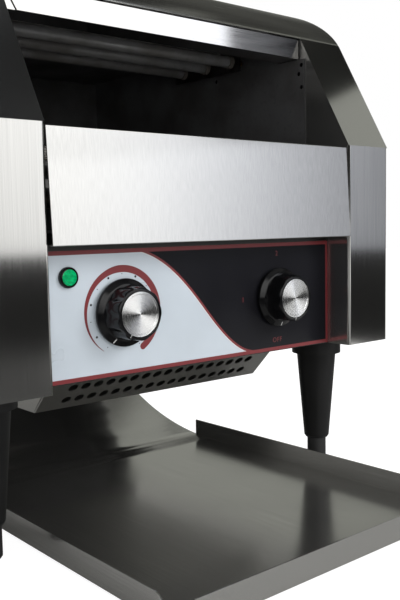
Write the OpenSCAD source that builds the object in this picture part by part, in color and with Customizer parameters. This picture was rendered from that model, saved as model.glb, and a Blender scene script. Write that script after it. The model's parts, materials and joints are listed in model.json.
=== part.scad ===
// Conveyor toaster for two slices side by side.
// Bread lies on a wire belt behind the front guard, rides back between two rows of heaters,
// drops behind the belt and slides forward on the one-piece tray under the body.
// Millimetres, +X right, +Y to the rear, +Z up. The origin is on the table, at the middle of
// the whole outline, with the tray in front and the body behind.

/* [Body] */
// Width over the two side shells
body_w = 368; // [350:1:420]
// Depth from the column faces to the rear edge of the side shells
body_d = 418; // [415:1:440]
// Height of the top of the cover above the table
body_h = 387; // [380:1:410]
// Clear height under the body, which the legs give
leg_h = 110; // [104:1:120]
// Width of each front column
column_w = 49; // [46:1:52]
// Height of the vertical face of a column
front_face_h = 159; // [150:1:163]
// How far the shoulder under the cover stands behind the column faces
hood_setback = 51; // [48:1:53]
// Thickness of the casing sheet
sheet = 1; // [0.8:0.1:1.2]
// Outer radius of the bends down the columns
bend_r = 2; // [1.4:0.1:2.6]
// Depth of the returns at the inner edges of the columns
cheek_d = 46; // [42:1:47]
// Width of the flanges that stiffen the shells
shell_flange = 16; // [12:1:20]
// How far the rear panel is set in from the rear edge
rear_recess = 10; // [9:1:12]

/* [Top cover] */
// Height of the cover above the shoulder
cover_h = 27; // [25:1:30]
// Radius of the rounded side edges
cover_side_r = 47; // [42:1:52]
// Radius of the rounded front and rear edges
cover_front_r = 40; // [36:1:46]

/* [Hood lip] */
// Height of the polished strip
lip_h = 15; // [12:0.5:17]
// Gap between strip and cover
lip_gap = 1.5; // [1:0.1:2.5]
// Depth of its underside
lip_d = 24; // [18:1:26]
// Height of the hem at the back of its underside
lip_hem = 5; // [3:0.5:7]
// How much narrower the strip is at its lower edge, on each side
lip_bevel = 9; // [5:0.5:14]

/* [Front guard] */
// Height of the guard plate below the feed opening
guard_h = 70; // [64:1:72]
// How far its top lies below the top of the column faces
guard_drop = 1.6; // [1:0.1:3]
// How far its top edge leans back from the column faces
guard_top_y = 1.5; // [1:0.1:3]
// How far its bottom edge stands in front of the column faces
guard_foot_y = 2.5; // [1:0.1:4]
// Gap beside the guard
guard_gap = 1.4; // [0.6:0.1:2]
// Depth of the ledge that the bread passes over
guard_ledge = 10; // [6:0.5:11]

/* [Control panel] */
// How far the printed face is set back from the column faces
panel_recess = 22.3; // [18:0.1:24]
// Thickness of the printed film
overlay_t = 0.5; // [0.3:0.1:0.8]
// Height of the printed film
overlay_h = 83.2; // [80:0.1:84.5]
// Thickness of the panel sheet
panel_t = 1.2; // [1:0.1:1.5]
// Gap at the sides of panel and film
panel_gap = 0.3; // [0.2:0.1:0.8]
// Height of both knob axes above the underside of the body
knob_h = 42.2; // [38:0.1:46]
// Distance from the left column to the axis of the speed knob
speed_inset = 66; // [61:1:71]
// Distance from the right column to the axis of the mode knob
mode_inset = 59.5; // [55:0.5:65]
// Distance from the left column to the middle of the lamp
lamp_inset = 25; // [22:0.5:31]
// Height of the lamp above the underside of the body
lamp_h = 67.3; // [62:0.1:72]

/* [Knobs] */
// Diameter of the knob skirt
knob_skirt_d = 45; // [42:1:48]
// Height of the skirt's straight rim
knob_skirt_t = 2.2; // [1.5:0.1:3]
// Diameter where the grip leaves the skirt
knob_grip_d = 36; // [34:0.5:38]
// Diameter of the grip at its front
knob_nose_d = 35; // [33:0.2:35.6]
// Length of a knob
knob_len = 18.4; // [17:0.2:20]
// Gap between knob and panel film
knob_gap = 1.6; // [1.2:0.1:2.4]
// Number of grip flutes
knob_flutes = 8; // [6:1:10]
// Depth of a flute
knob_flute_depth = 1.6; // [1:0.1:1.8]
// Diameter of the metal cap
knob_cap_d = 29; // [27.5:0.5:30]
// Diameter of the shafts that the knobs sit on
knob_shaft_d = 6; // [5:0.5:7]
// Radial clearance of the turning shafts
shaft_fit = 0.05; // [0.02:0.01:0.1]

/* [Lamp] */
// Diameter of the lamp bezel
lamp_bezel_d = 13.5; // [12.5:0.5:15]
// How far the bezel stands in front of the film
lamp_bezel_t = 3; // [2:0.5:4]
// Diameter of the coloured lens
lamp_lens_d = 11; // [9:0.5:11.5]

/* [Chamber] */
// Thickness of the chamber sheets
chamber_t = 1; // [0.8:0.1:1.2]
// How far the chamber ceiling lies below the top of the cover
ceiling_drop = 21.2; // [15:0.1:24]
// Height of the chamber floor above the underside of the body
floor_h = 95; // [91:0.5:99]
// Distance from the rear wall of the chamber to the rear panel
chamber_back_gap = 52; // [46:1:56]
// Distance from the front edge of the drop opening in the base to the rear panel
drop_front_gap = 111; // [108:0.5:112.5]
// Distance from the rear edge of the drop opening in the base to the rear panel
drop_back_gap = 4; // [3:0.5:7]

/* [Conveyor] */
// Distance from one cross rod of the belt to the next
belt_pitch = 12.7; // [12.4:0.1:12.8]
// Distance from the rear shaft to the drop opening, at least
belt_end_gap = 21; // [20:0.5:22]
// Number of teeth on each belt sprocket
belt_teeth = 8; // [8:4:8]
// Distance from the belt to the chamber walls
belt_side_gap = 25.9; // [24:0.1:32]
// Diameter of the belt's cross rods
belt_rod_d = 2; // [1.6:0.1:2.4]
// Thickness of the links that join the rods
belt_link_t = 1; // [0.8:0.1:1.4]
// Width of those links
belt_link_w = 1.6; // [1.2:0.1:2.4]
// Rows of links across the belt
belt_link_rows = 7; // [7:2:7]
// How far the belt lies below the top of the guard
belt_drop = 5.4; // [4:0.1:8]
// Place of the front shaft behind the column faces
front_shaft_y = 34; // [32:0.5:35]
// Diameter of the shafts between their bushes
belt_shaft_d = 12; // [11:0.5:13]
// Diameter of the shaft ends in their bushes
journal_d = 10; // [9:0.5:10.5]
// Thickness of the belt sprockets
belt_sprocket_t = 4; // [3:0.5:5]
// Outer diameter of the bushes
bush_d = 14; // [13:0.5:15]
// Diameter of the bush flanges
bush_flange_d = 20; // [18:0.5:22]
// Length of the bushes
bush_len = 8; // [7:0.5:8.5]

/* [Heaters] */
// Diameter of the heater tubes
heater_d = 10; // [8:0.5:10.5]
// Distance from the tubes' ends to the chamber walls
heater_end_gap = 23.9; // [22.5:0.1:29]
// Place of the front tube behind the column faces
heater_front_y = 114; // [110:1:118]
// Distance from tube to tube
heater_step = 31.5; // [29:0.5:33]
// Number of tubes in each row
heater_count = 3; // [2:1:3]
// Height of the upper tubes below the ceiling
upper_heater_drop = 17; // [15.5:0.5:19]
// Height of the lower tubes above the axis of the shafts
lower_heater_rise = 1.6; // [0:0.1:2.5]
// Length of the ceramic ends
insulator_len = 8; // [7:0.5:9]
// Diameter of the ceramic ends
insulator_d = 12; // [11.5:0.5:13]
// Diameter of the terminal studs
stud_d = 4; // [3:0.5:5]

/* [Drive] */
// Pitch of the drive chain
chain_pitch = 6.35; // [6:0.05:6.5]
// Teeth on the motor sprocket
motor_teeth = 10; // [10:1:12]
// Teeth on the driven sprocket
driven_teeth = 20; // [18:1:20]
// Place of the chain outside the columns' inner faces
chain_offset = 15; // [13.5:0.5:18]
// Place of the motor shaft behind the column faces
motor_y = 215; // [205:1:225]
// Height of the motor shaft above the underside of the body
motor_h = 40; // [38:1:44]
// Side of the square gearbox
gearbox_w = 60; // [54:1:64]
// Diameter of the motor can
motor_can_d = 50; // [44:1:54]
// Gap between the motor can and the fan
motor_fan_gap = 4; // [2:0.5:8]
// Diameter of the motor's output shaft
motor_shaft_d = 8; // [7:0.5:9]

/* [Fan] */
// Side of the square fan frame
fan_w = 92; // [88:1:96]
// Thickness of the fan frame
fan_t = 25; // [22:1:27]
// Place of the fan behind the column faces
fan_y = 150; // [144:1:156]
// Number of fan blades
fan_blades = 7; // [5:1:7]

/* [Legs] */
// Distance of the leg axes from the sides of the body
leg_inset = 29; // [27:0.5:31]
// Distance of the leg axes from the front and rear edges of the body
leg_end_inset = 53; // [50:1:56]
// Diameter of the leg collars
leg_collar_d = 41.7; // [40:0.1:42]
// Thickness of the leg collars
leg_collar_t = 13; // [10:0.5:14]
// Diameter of a leg under its collar
leg_top_d = 33.5; // [30:0.5:36]
// Diameter of a leg at its lower end
leg_low_d = 21.3; // [20:0.1:24]
// Diameter of the feet
foot_d = 16; // [14:0.5:18]
// Height of the feet below the legs
foot_h = 22; // [20:1:26]
// Diameter of the screw that each foot turns on
foot_screw_d = 8; // [7:0.5:9]
// Length of that screw
foot_screw_len = 40; // [34:1:46]

/* [Vent skirt] */
// Half width of the skirt
skirt_half_w = 104.8; // [100:0.1:108]
// Height of the skirt under the body
skirt_h = 29.3; // [26:0.1:31]
// Front of the skirt behind the column faces
skirt_front_y = 52; // [48:1:56]
// How far its sloping face runs back
skirt_run = 28.8; // [26:0.1:32]
// Distance from the rear of the skirt to the drop opening
skirt_back_gap = 9; // [6:1:16]
// Diameter of the vent holes
vent_d = 7.5; // [6:0.5:8.5]
// Distance between vent holes
vent_step = 10.44; // [10:0.02:10.8]
// Vent holes in a row
vent_count = 17; // [15:2:17]

/* [Toast tray] */
// How far the tray stands in front of the body
tray_reach = 108; // [100:1:116]
// Half width of the tray
tray_half_w = 128.6; // [124:0.2:132]
// Thickness of its sheet
tray_t = 1.2; // [1:0.1:1.5]
// Height of its floor above the table
tray_floor_h = 3; // [2.8:0.1:4]
// Height of its lips
tray_lip_h = 15; // [12:0.5:18]
// Where the side lips end behind the column faces
tray_lip_back_y = 186; // [180:1:192]
// Gap between the front lip and the side lips
tray_corner_gap = 12; // [9:0.5:15]
// Where the floor starts to curve up
tray_curve_y = 165; // [160:1:168]
// Radius of the curved slide
tray_curve_r = 275; // [270:1:285]
// Distance from the end of the slide to the rear wall of the chamber
tray_back_gap = 4; // [4:0.5:8]

/* [Hidden] */

$fn = 48;

// Body outline
half_w = body_w / 2;
inner_half = half_w - column_w;
shoulder_z = body_h - cover_h;
face_top_z = leg_h + front_face_h;
slant_a = atan(hood_setback / (shoulder_z - face_top_z));
body_y0 = -(body_d - tray_reach) / 2;
rear_y = body_d - rear_recess;
lip_top_z = shoulder_z - lip_gap;
lip_low_z = lip_top_z - lip_h;
guard_top_z = face_top_z - guard_drop;
guard_low_z = guard_top_z - guard_h;
leg_x = half_w - leg_inset;
leg_front_y = leg_end_inset;
leg_rear_y = body_d - leg_end_inset;
rear_screw_zs = [leg_h + 20, (leg_h + shoulder_z) / 2, shoulder_z - 20];

// Small clearances between neighbouring sheets
seat = 0.1;
slip = 0.3;

// Base and panel
base_t = 1.2;
base_low_z = leg_h + sheet;
base_top_z = base_low_z + base_t;
panel_y = panel_recess + overlay_t;
panel_back_y = panel_y + panel_t;
panel_half_w = inner_half - panel_gap;
overlay_rise = 0.7;
knob_z = leg_h + knob_h;
lamp_z = leg_h + lamp_h;
speed_x = -inner_half + speed_inset;
mode_x = inner_half - mode_inset;
lamp_x = -inner_half + lamp_inset;

// Chamber
wall_x = inner_half - seat - chamber_t;
ceiling_z = body_h - ceiling_drop;
floor_z = leg_h + floor_h;
lip_back_y = hood_setback + lip_d;
chamber_back_y = rear_y - chamber_back_gap;
drop_front_y = rear_y - drop_front_gap;
drop_back_y = rear_y - drop_back_gap;
skirt_back_y = drop_front_y - skirt_back_gap;
tray_back_y = chamber_back_y - tray_back_gap;

// Conveyor
belt_links = floor((drop_front_y - belt_end_gap - front_shaft_y) / belt_pitch);
belt_w = 2 * (wall_x - belt_side_gap);
pitch_r = belt_pitch / (2 * sin(180 / belt_teeth));
belt_top_z = guard_top_z - belt_drop;
shaft_z = belt_top_z - belt_rod_d / 2 - pitch_r;
rear_shaft_y = front_shaft_y + belt_pitch * belt_links;
link_step = (belt_w - 4) / (belt_link_rows - 1);
sprocket_rows = [-2.5, -0.5, 0.5, 2.5];
bush_flange_t = 2;
shaft_half = wall_x - bush_flange_t - slip;
shaft_end = wall_x - bush_flange_t + bush_len + 3;

// Heaters
heater_len = 2 * (wall_x - heater_end_gap);
upper_heater_z = ceiling_z - upper_heater_drop;
lower_heater_z = shaft_z + lower_heater_rise;
bracket_x = heater_len / 2 + 4;
bracket_t = 1.2;
stud_len = 9;
heater_ys = [for (i = [0:heater_count - 1]) heater_front_y + i * heater_step];
heater_rows_end_y = heater_ys[heater_count - 1];

// Drive
chain_x = inner_half + chain_offset;
motor_z = leg_h + motor_h;
chain_w = 5;
chain_thick = 4;
chain_slack = 0.4;
motor_r = chain_pitch / (2 * sin(180 / motor_teeth));
driven_r = chain_pitch / (2 * sin(180 / driven_teeth));
sprocket_t = 3;
bracket_plate_x = inner_half - 9;
bracket_plate_t = 2;
gearbox_len = 32;
motor_can_len = bracket_plate_x - gearbox_len - fan_w / 2 - motor_fan_gap;

// Cable inlet
gland_x = leg_x - 4;

// ---- Helpers ----

// Moves what is drawn behind the column faces to its place over the origin
module at_body() translate([0, body_y0, 0]) children();

// Both sides of the middle plane
module both_sides() {
    children();
    mirror([1, 0, 0]) children();
}

// Extrudes a side outline (depth, height) from x0 to x1
module across(x0, x1) translate([x0, 0, 0]) rotate([90, 0, 90]) linear_extrude(x1 - x0) children();

// Extrudes a front outline (width, height) from y0 back to y1
module rearward(y0, y1) translate([0, y1, 0]) rotate([90, 0, 0]) linear_extrude(y1 - y0) children();

// A straight strip of sheet in an outline, on the line from p to q
module strip(p, q, t) {
    d = q - p;
    translate(p) rotate(atan2(d[1], d[0])) translate([0, -t / 2]) square([norm(d), t]);
}

// A folded sheet in an outline, on the line through the points
module folded(points, t) {
    for (i = [0:len(points) - 2]) strip(points[i], points[i + 1], t);
    for (i = [1:len(points) - 2]) translate(points[i]) circle(d = t);
}

// A round bar along X at a depth and height
module bar_x(d, x0, x1, y, z) translate([x0, y, z]) rotate([0, 90, 0]) cylinder(d = d, h = x1 - x0);

// A round bar along Y at a width and height
module bar_y(d, y0, y1, x, z) translate([x, y0, z]) rotate([-90, 0, 0]) cylinder(d = d, h = y1 - y0);

// The outline of a band around two wheels of different size
module wheel_loop(c1, r1, c2, r2) {
    d = c2 - c1;
    heading = atan2(d[1], d[0]);
    swing = acos((r1 - r2) / norm(d));
    n1 = [cos(heading + swing), sin(heading + swing)];
    n2 = [cos(heading - swing), sin(heading - swing)];
    translate(c1) circle(r = r1);
    translate(c2) circle(r = r2);
    polygon([c1 + r1 * n1, c2 + r2 * n1, c2 + r2 * n2, c1 + r1 * n2]);
}

// A toothed wheel outline with simple trapezoid teeth
module toothed_wheel(teeth, root_r, tip_r) {
    root_w = 1.1 * PI * root_r / teeth;
    circle(r = root_r);
    for (i = [0:teeth - 1]) rotate(360 / teeth * (i + 0.5))
        polygon([[root_r * 0.8, -root_w / 2], [tip_r, -root_w / 4], [tip_r, root_w / 4],
            [root_r * 0.8, root_w / 2]]);
}

// ---- Casing ----

// Three points down the front of a side outline, inset from the surface: top, bend and foot
function front_line(inset) = [
    [hood_setback + inset / cos(slant_a), shoulder_z],
    [inset, face_top_z - inset * tan(slant_a / 2)],
    [inset, leg_h]];

// A strip of sheet following the front of a side outline, above or below its kink
module front_strip(from, to) {
    a = front_line(0);
    b = front_line(sheet);
    polygon([a[from], a[to], b[to], b[from]]);
}

// A folded corner up a column to the kink, about a line at centre_x; side is -1 or 1 across
module column_bend(centre_x, side) translate([centre_x, bend_r, leg_h]) intersection() {
    difference() {
        cylinder(r = bend_r, h = front_face_h);
        translate([0, 0, -1]) cylinder(r = bend_r - sheet, h = front_face_h + 2);
    }
    translate([side < 0 ? -bend_r : 0, -bend_r, 0]) cube([bend_r, bend_r, front_face_h]);
}

// The front edge of a side wall: welded square on the slant, set back for the folds below
wall_front = [front_line(0)[0], front_line(0)[1], [bend_r, face_top_z], [bend_r, leg_h]];

// One side shell, drawn on the right
module side_shell() {
    difference() {
        union() {
            across(half_w - sheet, half_w) polygon(concat(wall_front,
                [[body_d, leg_h], [body_d, shoulder_z]]));
            across(inner_half, half_w) front_strip(0, 1);
            across(inner_half + bend_r, half_w - bend_r) front_strip(1, 2);
            across(inner_half, inner_half + sheet) polygon(concat(wall_front,
                [[cheek_d, leg_h], [cheek_d, lip_low_z - 2], [hood_setback + 6, lip_low_z - 2],
                [hood_setback + 6, shoulder_z]]));
            column_bend(inner_half + bend_r, -1);
            column_bend(half_w - bend_r, 1);
            translate([half_w - shell_flange, hood_setback + bend_r + 1, shoulder_z - sheet])
                cube([shell_flange, rear_y - hood_setback - bend_r - 1, sheet]);
            translate([inner_half, bend_r, leg_h]) cube([column_w, rear_y - bend_r, sheet]);
            translate([inner_half + bend_r, 0, leg_h])
                cube([column_w - 2 * bend_r, bend_r + 1, sheet]);
            translate([half_w - shell_flange, rear_y - sheet, leg_h])
                cube([shell_flange, sheet, shoulder_z - leg_h]);
        }
        bar_x(bush_d + 1, inner_half - 1, inner_half + sheet + 1, front_shaft_y, shaft_z);
        for (y = [leg_front_y, leg_rear_y]) translate([leg_x, y, leg_h - 1])
            cylinder(d = foot_screw_d + 0.5, h = sheet + 2);
    }
}

module right_side_shell() color("silver") at_body() side_shell();

module left_side_shell() color("silver") at_body() mirror([1, 0, 0]) side_shell();

// One rounded section of the cover: half width or half depth, edge radius, inset from outside
module cover_section(half, r, inset) {
    reach = r * sin(acos(1 - cover_h / r));
    intersection() {
        translate([-half, shoulder_z]) square([2 * half, cover_h - inset]);
        union() {
            translate([-half + reach, shoulder_z - 1]) square([2 * (half - reach), cover_h + 2]);
            for (side = [-1, 1]) translate([side * (half - reach), body_h - r])
                circle(r = r - inset);
        }
    }
}

module cover_solid(inset) {
    half_d = (body_d - hood_setback) / 2;
    intersection() {
        rearward(hood_setback, body_d) cover_section(half_w, cover_side_r, inset);
        across(-half_w, half_w) translate([hood_setback + half_d, 0])
            cover_section(half_d, cover_front_r, inset);
    }
}

module top_cover() color("gray") at_body() {
    difference() {
        cover_solid(0);
        translate([0, 0, -0.01]) cover_solid(sheet);
    }
    // inward flanges at the front and rear edges
    translate([-inner_half, hood_setback + 0.4, shoulder_z]) cube([2 * inner_half, 20, sheet]);
    translate([-inner_half, rear_y + sheet, shoulder_z])
        cube([2 * inner_half, rear_recess - sheet - 0.5, sheet]);
}

module hood_lip() color("whitesmoke") at_body() {
    strip_half = wall_x - 2.4;
    back_half = wall_x - slip;
    rearward(hood_setback, hood_setback + sheet) polygon([
        [-strip_half, lip_top_z], [strip_half, lip_top_z],
        [strip_half - lip_bevel, lip_low_z], [-strip_half + lip_bevel, lip_low_z]]);
    rearward(hood_setback + sheet, hood_setback + 2 * sheet)
        translate([-back_half, lip_low_z]) square([2 * back_half, lip_h]);
    across(-back_half, back_half) union() {
        folded([[hood_setback + sheet, lip_low_z + sheet / 2],
            [lip_back_y - sheet / 2, lip_low_z + sheet / 2],
            [lip_back_y - sheet / 2, lip_low_z + lip_hem]], sheet);
        folded([[hood_setback + sheet, lip_top_z - sheet / 2],
            [lip_back_y - 5, lip_top_z - sheet / 2], [lip_back_y - 5, shoulder_z]], sheet);
    }
}

module front_guard() color("gainsboro") at_body() {
    foot_z = guard_low_z + sheet / 2;
    top_z = guard_top_z - sheet / 2;
    across(-inner_half + guard_gap, inner_half - guard_gap)
        folded([[panel_y, foot_z], [-guard_foot_y + sheet / 2, foot_z],
            [guard_top_y + sheet / 2, top_z], [guard_top_y + guard_ledge, top_z - 1]], sheet);
}

module rear_panel() color("silver") at_body() {
    vent_w = 60;
    difference() {
        translate([-half_w + sheet + slip, rear_y, leg_h + slip])
            cube([body_w - 2 * sheet - 2 * slip, sheet, shoulder_z - leg_h - 2 * slip]);
        // two columns of vent slots
        for (col = [-1, 1], row = [0:8]) translate([col * 48, rear_y - 1, shoulder_z - 42 - row * 11])
            rotate([-90, 0, 0]) linear_extrude(sheet + 2) {
                square([vent_w - 5, 5], center = true);
                for (end = [-1, 1]) translate([end * (vent_w - 5) / 2, 0]) circle(d = 5);
            }
        bar_y(16.4, rear_y - 1, rear_y + sheet + 1, -gland_x, leg_h + 40);
        for (side = [-1, 1], z = rear_screw_zs)
            bar_y(4.4, rear_y - 1, rear_y + sheet + 1, side * (half_w - shell_flange / 2), z);
    }
}

module base_plate() color("darkgray") at_body() {
    back = rear_y - sheet - slip;
    outer = half_w - sheet - seat;
    difference() {
        translate([0, 0, base_low_z]) union() {
            translate([-outer, cheek_d + slip, 0]) cube([2 * outer, back - cheek_d - slip, base_t]);
            translate([-panel_half_w, panel_back_y + seat, 0])
                cube([2 * panel_half_w, cheek_d + 1 - panel_back_y, base_t]);
        }
        translate([-wall_x, drop_front_y, base_low_z - 1])
            cube([2 * wall_x, drop_back_y - drop_front_y, base_t + 2]);
        // air holes under the fan
        for (ring = [1:4], i = [0:6 * ring - 1])
            rotate_at(0, fan_y, 60 / ring * i) translate([ring * 9, 0, base_low_z - 1])
                cylinder(d = 6, h = base_t + 2);
        for (side = [-1, 1], y = [leg_front_y, leg_rear_y])
            translate([side * leg_x, y, base_low_z - 1])
                cylinder(d = foot_screw_d + 0.5, h = base_t + 2);
    }
}

// Turns about a vertical axis at x, y
module rotate_at(x, y, a) translate([x, y, 0]) rotate(a) children();

// ---- Control panel ----

// The panel, with a return along its foot that lies under the base
module control_panel() color("silver") at_body() difference() {
    return_d = 14;
    across(-panel_half_w, panel_half_w) union() {
        translate([panel_y, leg_h]) square([panel_t, floor_z - leg_h]);
        translate([panel_y, leg_h]) square([panel_t + return_d, base_low_z - leg_h]);
    }
    for (x = [speed_x, mode_x]) bar_y(knob_shaft_d + 4.2, panel_y - 1, panel_back_y + 1, x, knob_z);
    bar_y(lamp_lens_d + 1.2, panel_y - 1, panel_back_y + 1, lamp_x, lamp_z);
}

module panel_overlay() color("lightsteelblue") at_body() difference() {
    translate([-panel_half_w, panel_recess, leg_h + overlay_rise])
        cube([2 * panel_half_w, overlay_t, overlay_h]);
    for (x = [speed_x, mode_x]) bar_y(knob_shaft_d + 4.2, panel_recess - 1, panel_y + 1, x, knob_z);
    bar_y(lamp_lens_d + 1.2, panel_recess - 1, panel_y + 1, lamp_x, lamp_z);
}

module lamp_bezel() color("black") at_body() translate([lamp_x, panel_recess, lamp_z])
    rotate([90, 0, 0]) difference() {
        union() {
            cylinder(d1 = lamp_bezel_d, d2 = lamp_bezel_d - 1, h = lamp_bezel_t);
            translate([0, 0, -18]) cylinder(d = lamp_lens_d + 0.9, h = 18.5);
            translate([0, 0, -overlay_t - panel_t - 3.1]) cylinder(d = lamp_lens_d + 6, h = 3);
        }
        translate([0, 0, -1]) cylinder(d = lamp_lens_d - 0.6, h = lamp_bezel_t + 2);
    }

module lamp_lens() color("green") at_body() translate([lamp_x, panel_recess, lamp_z])
    rotate([90, 0, 0]) {
        translate([0, 0, -0.8]) cylinder(d = lamp_lens_d - 0.8, h = lamp_bezel_t + 1.2);
        translate([0, 0, lamp_bezel_t + 0.4])
            cylinder(d1 = lamp_lens_d - 0.8, d2 = lamp_lens_d - 3, h = 0.8);
    }

// A knob with its back at z = 0 and its nose towards +Z
module knob_solid() {
    bevel_d = knob_grip_d + 2;
    rim = 1;
    difference() {
        union() {
            cylinder(d = knob_skirt_d, h = knob_skirt_t);
            translate([0, 0, knob_skirt_t])
                cylinder(d1 = knob_skirt_d, d2 = bevel_d, h = 2.2);
            difference() {
                translate([0, 0, knob_skirt_t])
                    cylinder(d1 = knob_grip_d, d2 = knob_nose_d, h = knob_len - knob_skirt_t);
                for (i = [0:knob_flutes - 1]) rotate(360 / knob_flutes * (i + 0.5))
                    translate([knob_grip_d / 2 + 7 - knob_flute_depth, 0, knob_skirt_t + 2.2])
                        cylinder(r = 7, h = knob_len);
            }
        }
        // seat of the metal cap
        translate([0, 0, knob_len - rim]) cylinder(d = knob_cap_d + 0.3, h = rim + 1);
        // room for the nut, and the bore on the shaft
        translate([0, 0, -1]) cylinder(d = 20, h = 5);
        translate([0, 0, -1]) cylinder(d = knob_shaft_d + 2 * shaft_fit, h = knob_len - 3);
    }
}

// Carries what is drawn as a knob to its axis on the panel, nose forward
module at_knob(x) at_body() translate([x, panel_recess - knob_gap, knob_z]) rotate([90, 0, 0]) children();

module speed_knob() color("#1a1a1a") at_knob(speed_x) knob_solid();

module mode_knob() color("#1a1a1a") at_knob(mode_x) knob_solid();

// A spun metal disc with a shallow dish
module knob_cap_solid() translate([0, 0, knob_len - 1]) difference() {
    cylinder(d = knob_cap_d, h = 1);
    translate([0, 0, 0.7]) cylinder(d1 = knob_cap_d - 3.5, d2 = knob_cap_d - 2.5, h = 0.4);
}

module speed_knob_cap() color("silver") at_knob(speed_x) knob_cap_solid();

module mode_knob_cap() color("silver") at_knob(mode_x) knob_cap_solid();

// Shaft of a panel control, from inside the knob to inside the control
module control_shaft(x) at_body()
    bar_y(knob_shaft_d, panel_recess - knob_gap - knob_len + 4.6, panel_back_y + 10, x, knob_z);

module speed_shaft() color("lightgray") control_shaft(speed_x);

module mode_shaft() color("lightgray") control_shaft(mode_x);

// Bored bushing and nut that clamp a control in the panel
module control_bushing(x) {
    bar_y(knob_shaft_d + 4, panel_recess - 1.2, panel_back_y + 1, x, knob_z);
    bar_y(14, panel_recess - 1.4, panel_recess, x, knob_z);
}

module control_bore(x) bar_y(knob_shaft_d + 2 * shaft_fit, 0, panel_back_y + 10.4, x, knob_z);

module speed_control() color("dimgray") at_body() difference() {
    union() {
        control_bushing(speed_x);
        bar_y(24, panel_back_y, panel_back_y + 13, speed_x, knob_z);
        translate([speed_x - 9, panel_back_y + 4, knob_z - 20]) cube([18, 2, 10]);
    }
    control_bore(speed_x);
}

module mode_switch() color("dimgray") at_body() difference() {
    union() {
        control_bushing(mode_x);
        translate([mode_x - 22, panel_back_y, knob_z - 22]) cube([44, 38, 44]);
        for (side = [-1, 1], row = [0:2])
            translate([mode_x + side * 24 - 2, panel_back_y + 8 + row * 10, knob_z - 8])
                cube([4, 5, 16]);
    }
    control_bore(mode_x);
}

// ---- Chamber ----

// One chamber wall, drawn on the right
module chamber_plate() difference() {
    across(wall_x, wall_x + chamber_t) polygon([
        [panel_back_y + slip, floor_z - 5], [panel_back_y + slip, belt_top_z],
        [cheek_d, belt_top_z], [cheek_d, lip_low_z - slip],
        [lip_back_y + 1, lip_low_z - slip], [lip_back_y + 1, ceiling_z], [drop_back_y, ceiling_z],
        [drop_back_y, base_top_z], [drop_front_y - 7, base_top_z], [drop_front_y - 7, floor_z - 5]]);
    for (y = [front_shaft_y, rear_shaft_y])
        bar_x(bush_d + 0.1, wall_x - 1, wall_x + chamber_t + 1, y, shaft_z);
    // row of guide holes behind the feed opening, and two further back
    for (p = [[cheek_d + 3, 5], [cheek_d + 6, 12], [cheek_d + 3, 23], [155, 3.5]])
        bar_x(3.6, wall_x - 1, wall_x + chamber_t + 1, p[0], lip_low_z - p[1]);
}

module right_chamber_plate() color("dimgray") at_body() chamber_plate();

module left_chamber_plate() color("dimgray") at_body() mirror([1, 0, 0]) chamber_plate();

module ceiling_plate() color("dimgray") at_body() {
    front_y = lip_back_y + 1;
    translate([-wall_x - chamber_t, front_y, ceiling_z])
        cube([2 * (wall_x + chamber_t), drop_back_y - front_y, chamber_t]);
    // turned down behind the hood lip
    translate([-wall_x + seat, front_y, lip_low_z + 1])
        cube([2 * (wall_x - seat), chamber_t, ceiling_z - lip_low_z]);
}

module chamber_floor() color("gray") at_body() across(-wall_x + seat, wall_x - seat)
    folded([[panel_back_y + seat, floor_z + chamber_t / 2],
        [drop_front_y - 1 - chamber_t / 2, floor_z + chamber_t / 2],
        [drop_front_y - 1 - chamber_t / 2, base_top_z]], chamber_t);

// Height of the slide's surface at a depth
function slide_z(y) = tray_floor_h + tray_curve_r
    - sqrt(pow(tray_curve_r, 2) - pow(y - tray_curve_y, 2));

module rear_baffle() color("gray") at_body() across(-wall_x + 0.2, wall_x - 0.2)
    folded([[chamber_back_y + 12, ceiling_z - chamber_t / 2 - seat],
        [chamber_back_y, ceiling_z - chamber_t / 2 - seat], [chamber_back_y, ceiling_z - 66],
        [drop_back_y - 10, leg_h + 75], [drop_back_y - 10, leg_h + 40],
        [tray_back_y + 0.45, slide_z(tray_back_y) + 0.4]], chamber_t);

// ---- Heaters ----

// Places children at every heater of the upper and lower rows
module at_heaters() for (y = heater_ys, z = [upper_heater_z, lower_heater_z])
    translate([0, y, z]) children();

module heater_row(z) for (y = heater_ys) bar_x(heater_d, -heater_len / 2, heater_len / 2, y, z);

module upper_heaters() color("lightgray") at_body() heater_row(upper_heater_z);

module lower_heaters() color("lightgray") at_body() heater_row(lower_heater_z);

module heater_insulators() color("white") at_body() both_sides() at_heaters() difference() {
    bar_x(insulator_d, heater_len / 2, heater_len / 2 + insulator_len, 0, 0);
    bar_x(stud_d + 0.1, heater_len / 2 - 1, heater_len / 2 + insulator_len + 1, 0, 0);
}

// Terminal studs with their nuts
module heater_nuts() color("gold") at_body() both_sides() at_heaters() {
    bar_x(stud_d, heater_len / 2 + 0.1, heater_len / 2 + insulator_len + stud_len, 0, 0);
    translate([heater_len / 2 + insulator_len + 3, 0, 0]) rotate([0, 90, 0])
        cylinder(d = 2 * stud_d, h = 3.2, $fn = 6);
}

// Brackets that carry the ceramic ends: the upper pair hangs from the ceiling, and the lower
// pair stands off the chamber walls
module heater_brackets() color("gray") at_body() both_sides() difference() {
    y0 = heater_ys[0] - 12;
    depth = heater_rows_end_y - heater_ys[0] + 24;
    low_z = lower_heater_z - 11;
    union() {
        translate([bracket_x, y0, upper_heater_z - 9])
            cube([bracket_t, depth, ceiling_z - upper_heater_z + 9]);
        translate([bracket_x, y0, ceiling_z - bracket_t]) cube([12, depth, bracket_t]);
        translate([bracket_x, y0, low_z]) cube([bracket_t, depth, 20]);
        translate([bracket_x, y0, low_z]) cube([wall_x - bracket_x, depth, bracket_t]);
    }
    for (y = heater_ys, z = [upper_heater_z, lower_heater_z])
        bar_x(insulator_d + 0.1, bracket_x - 1, bracket_x + bracket_t + 1, y, z);
}

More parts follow.
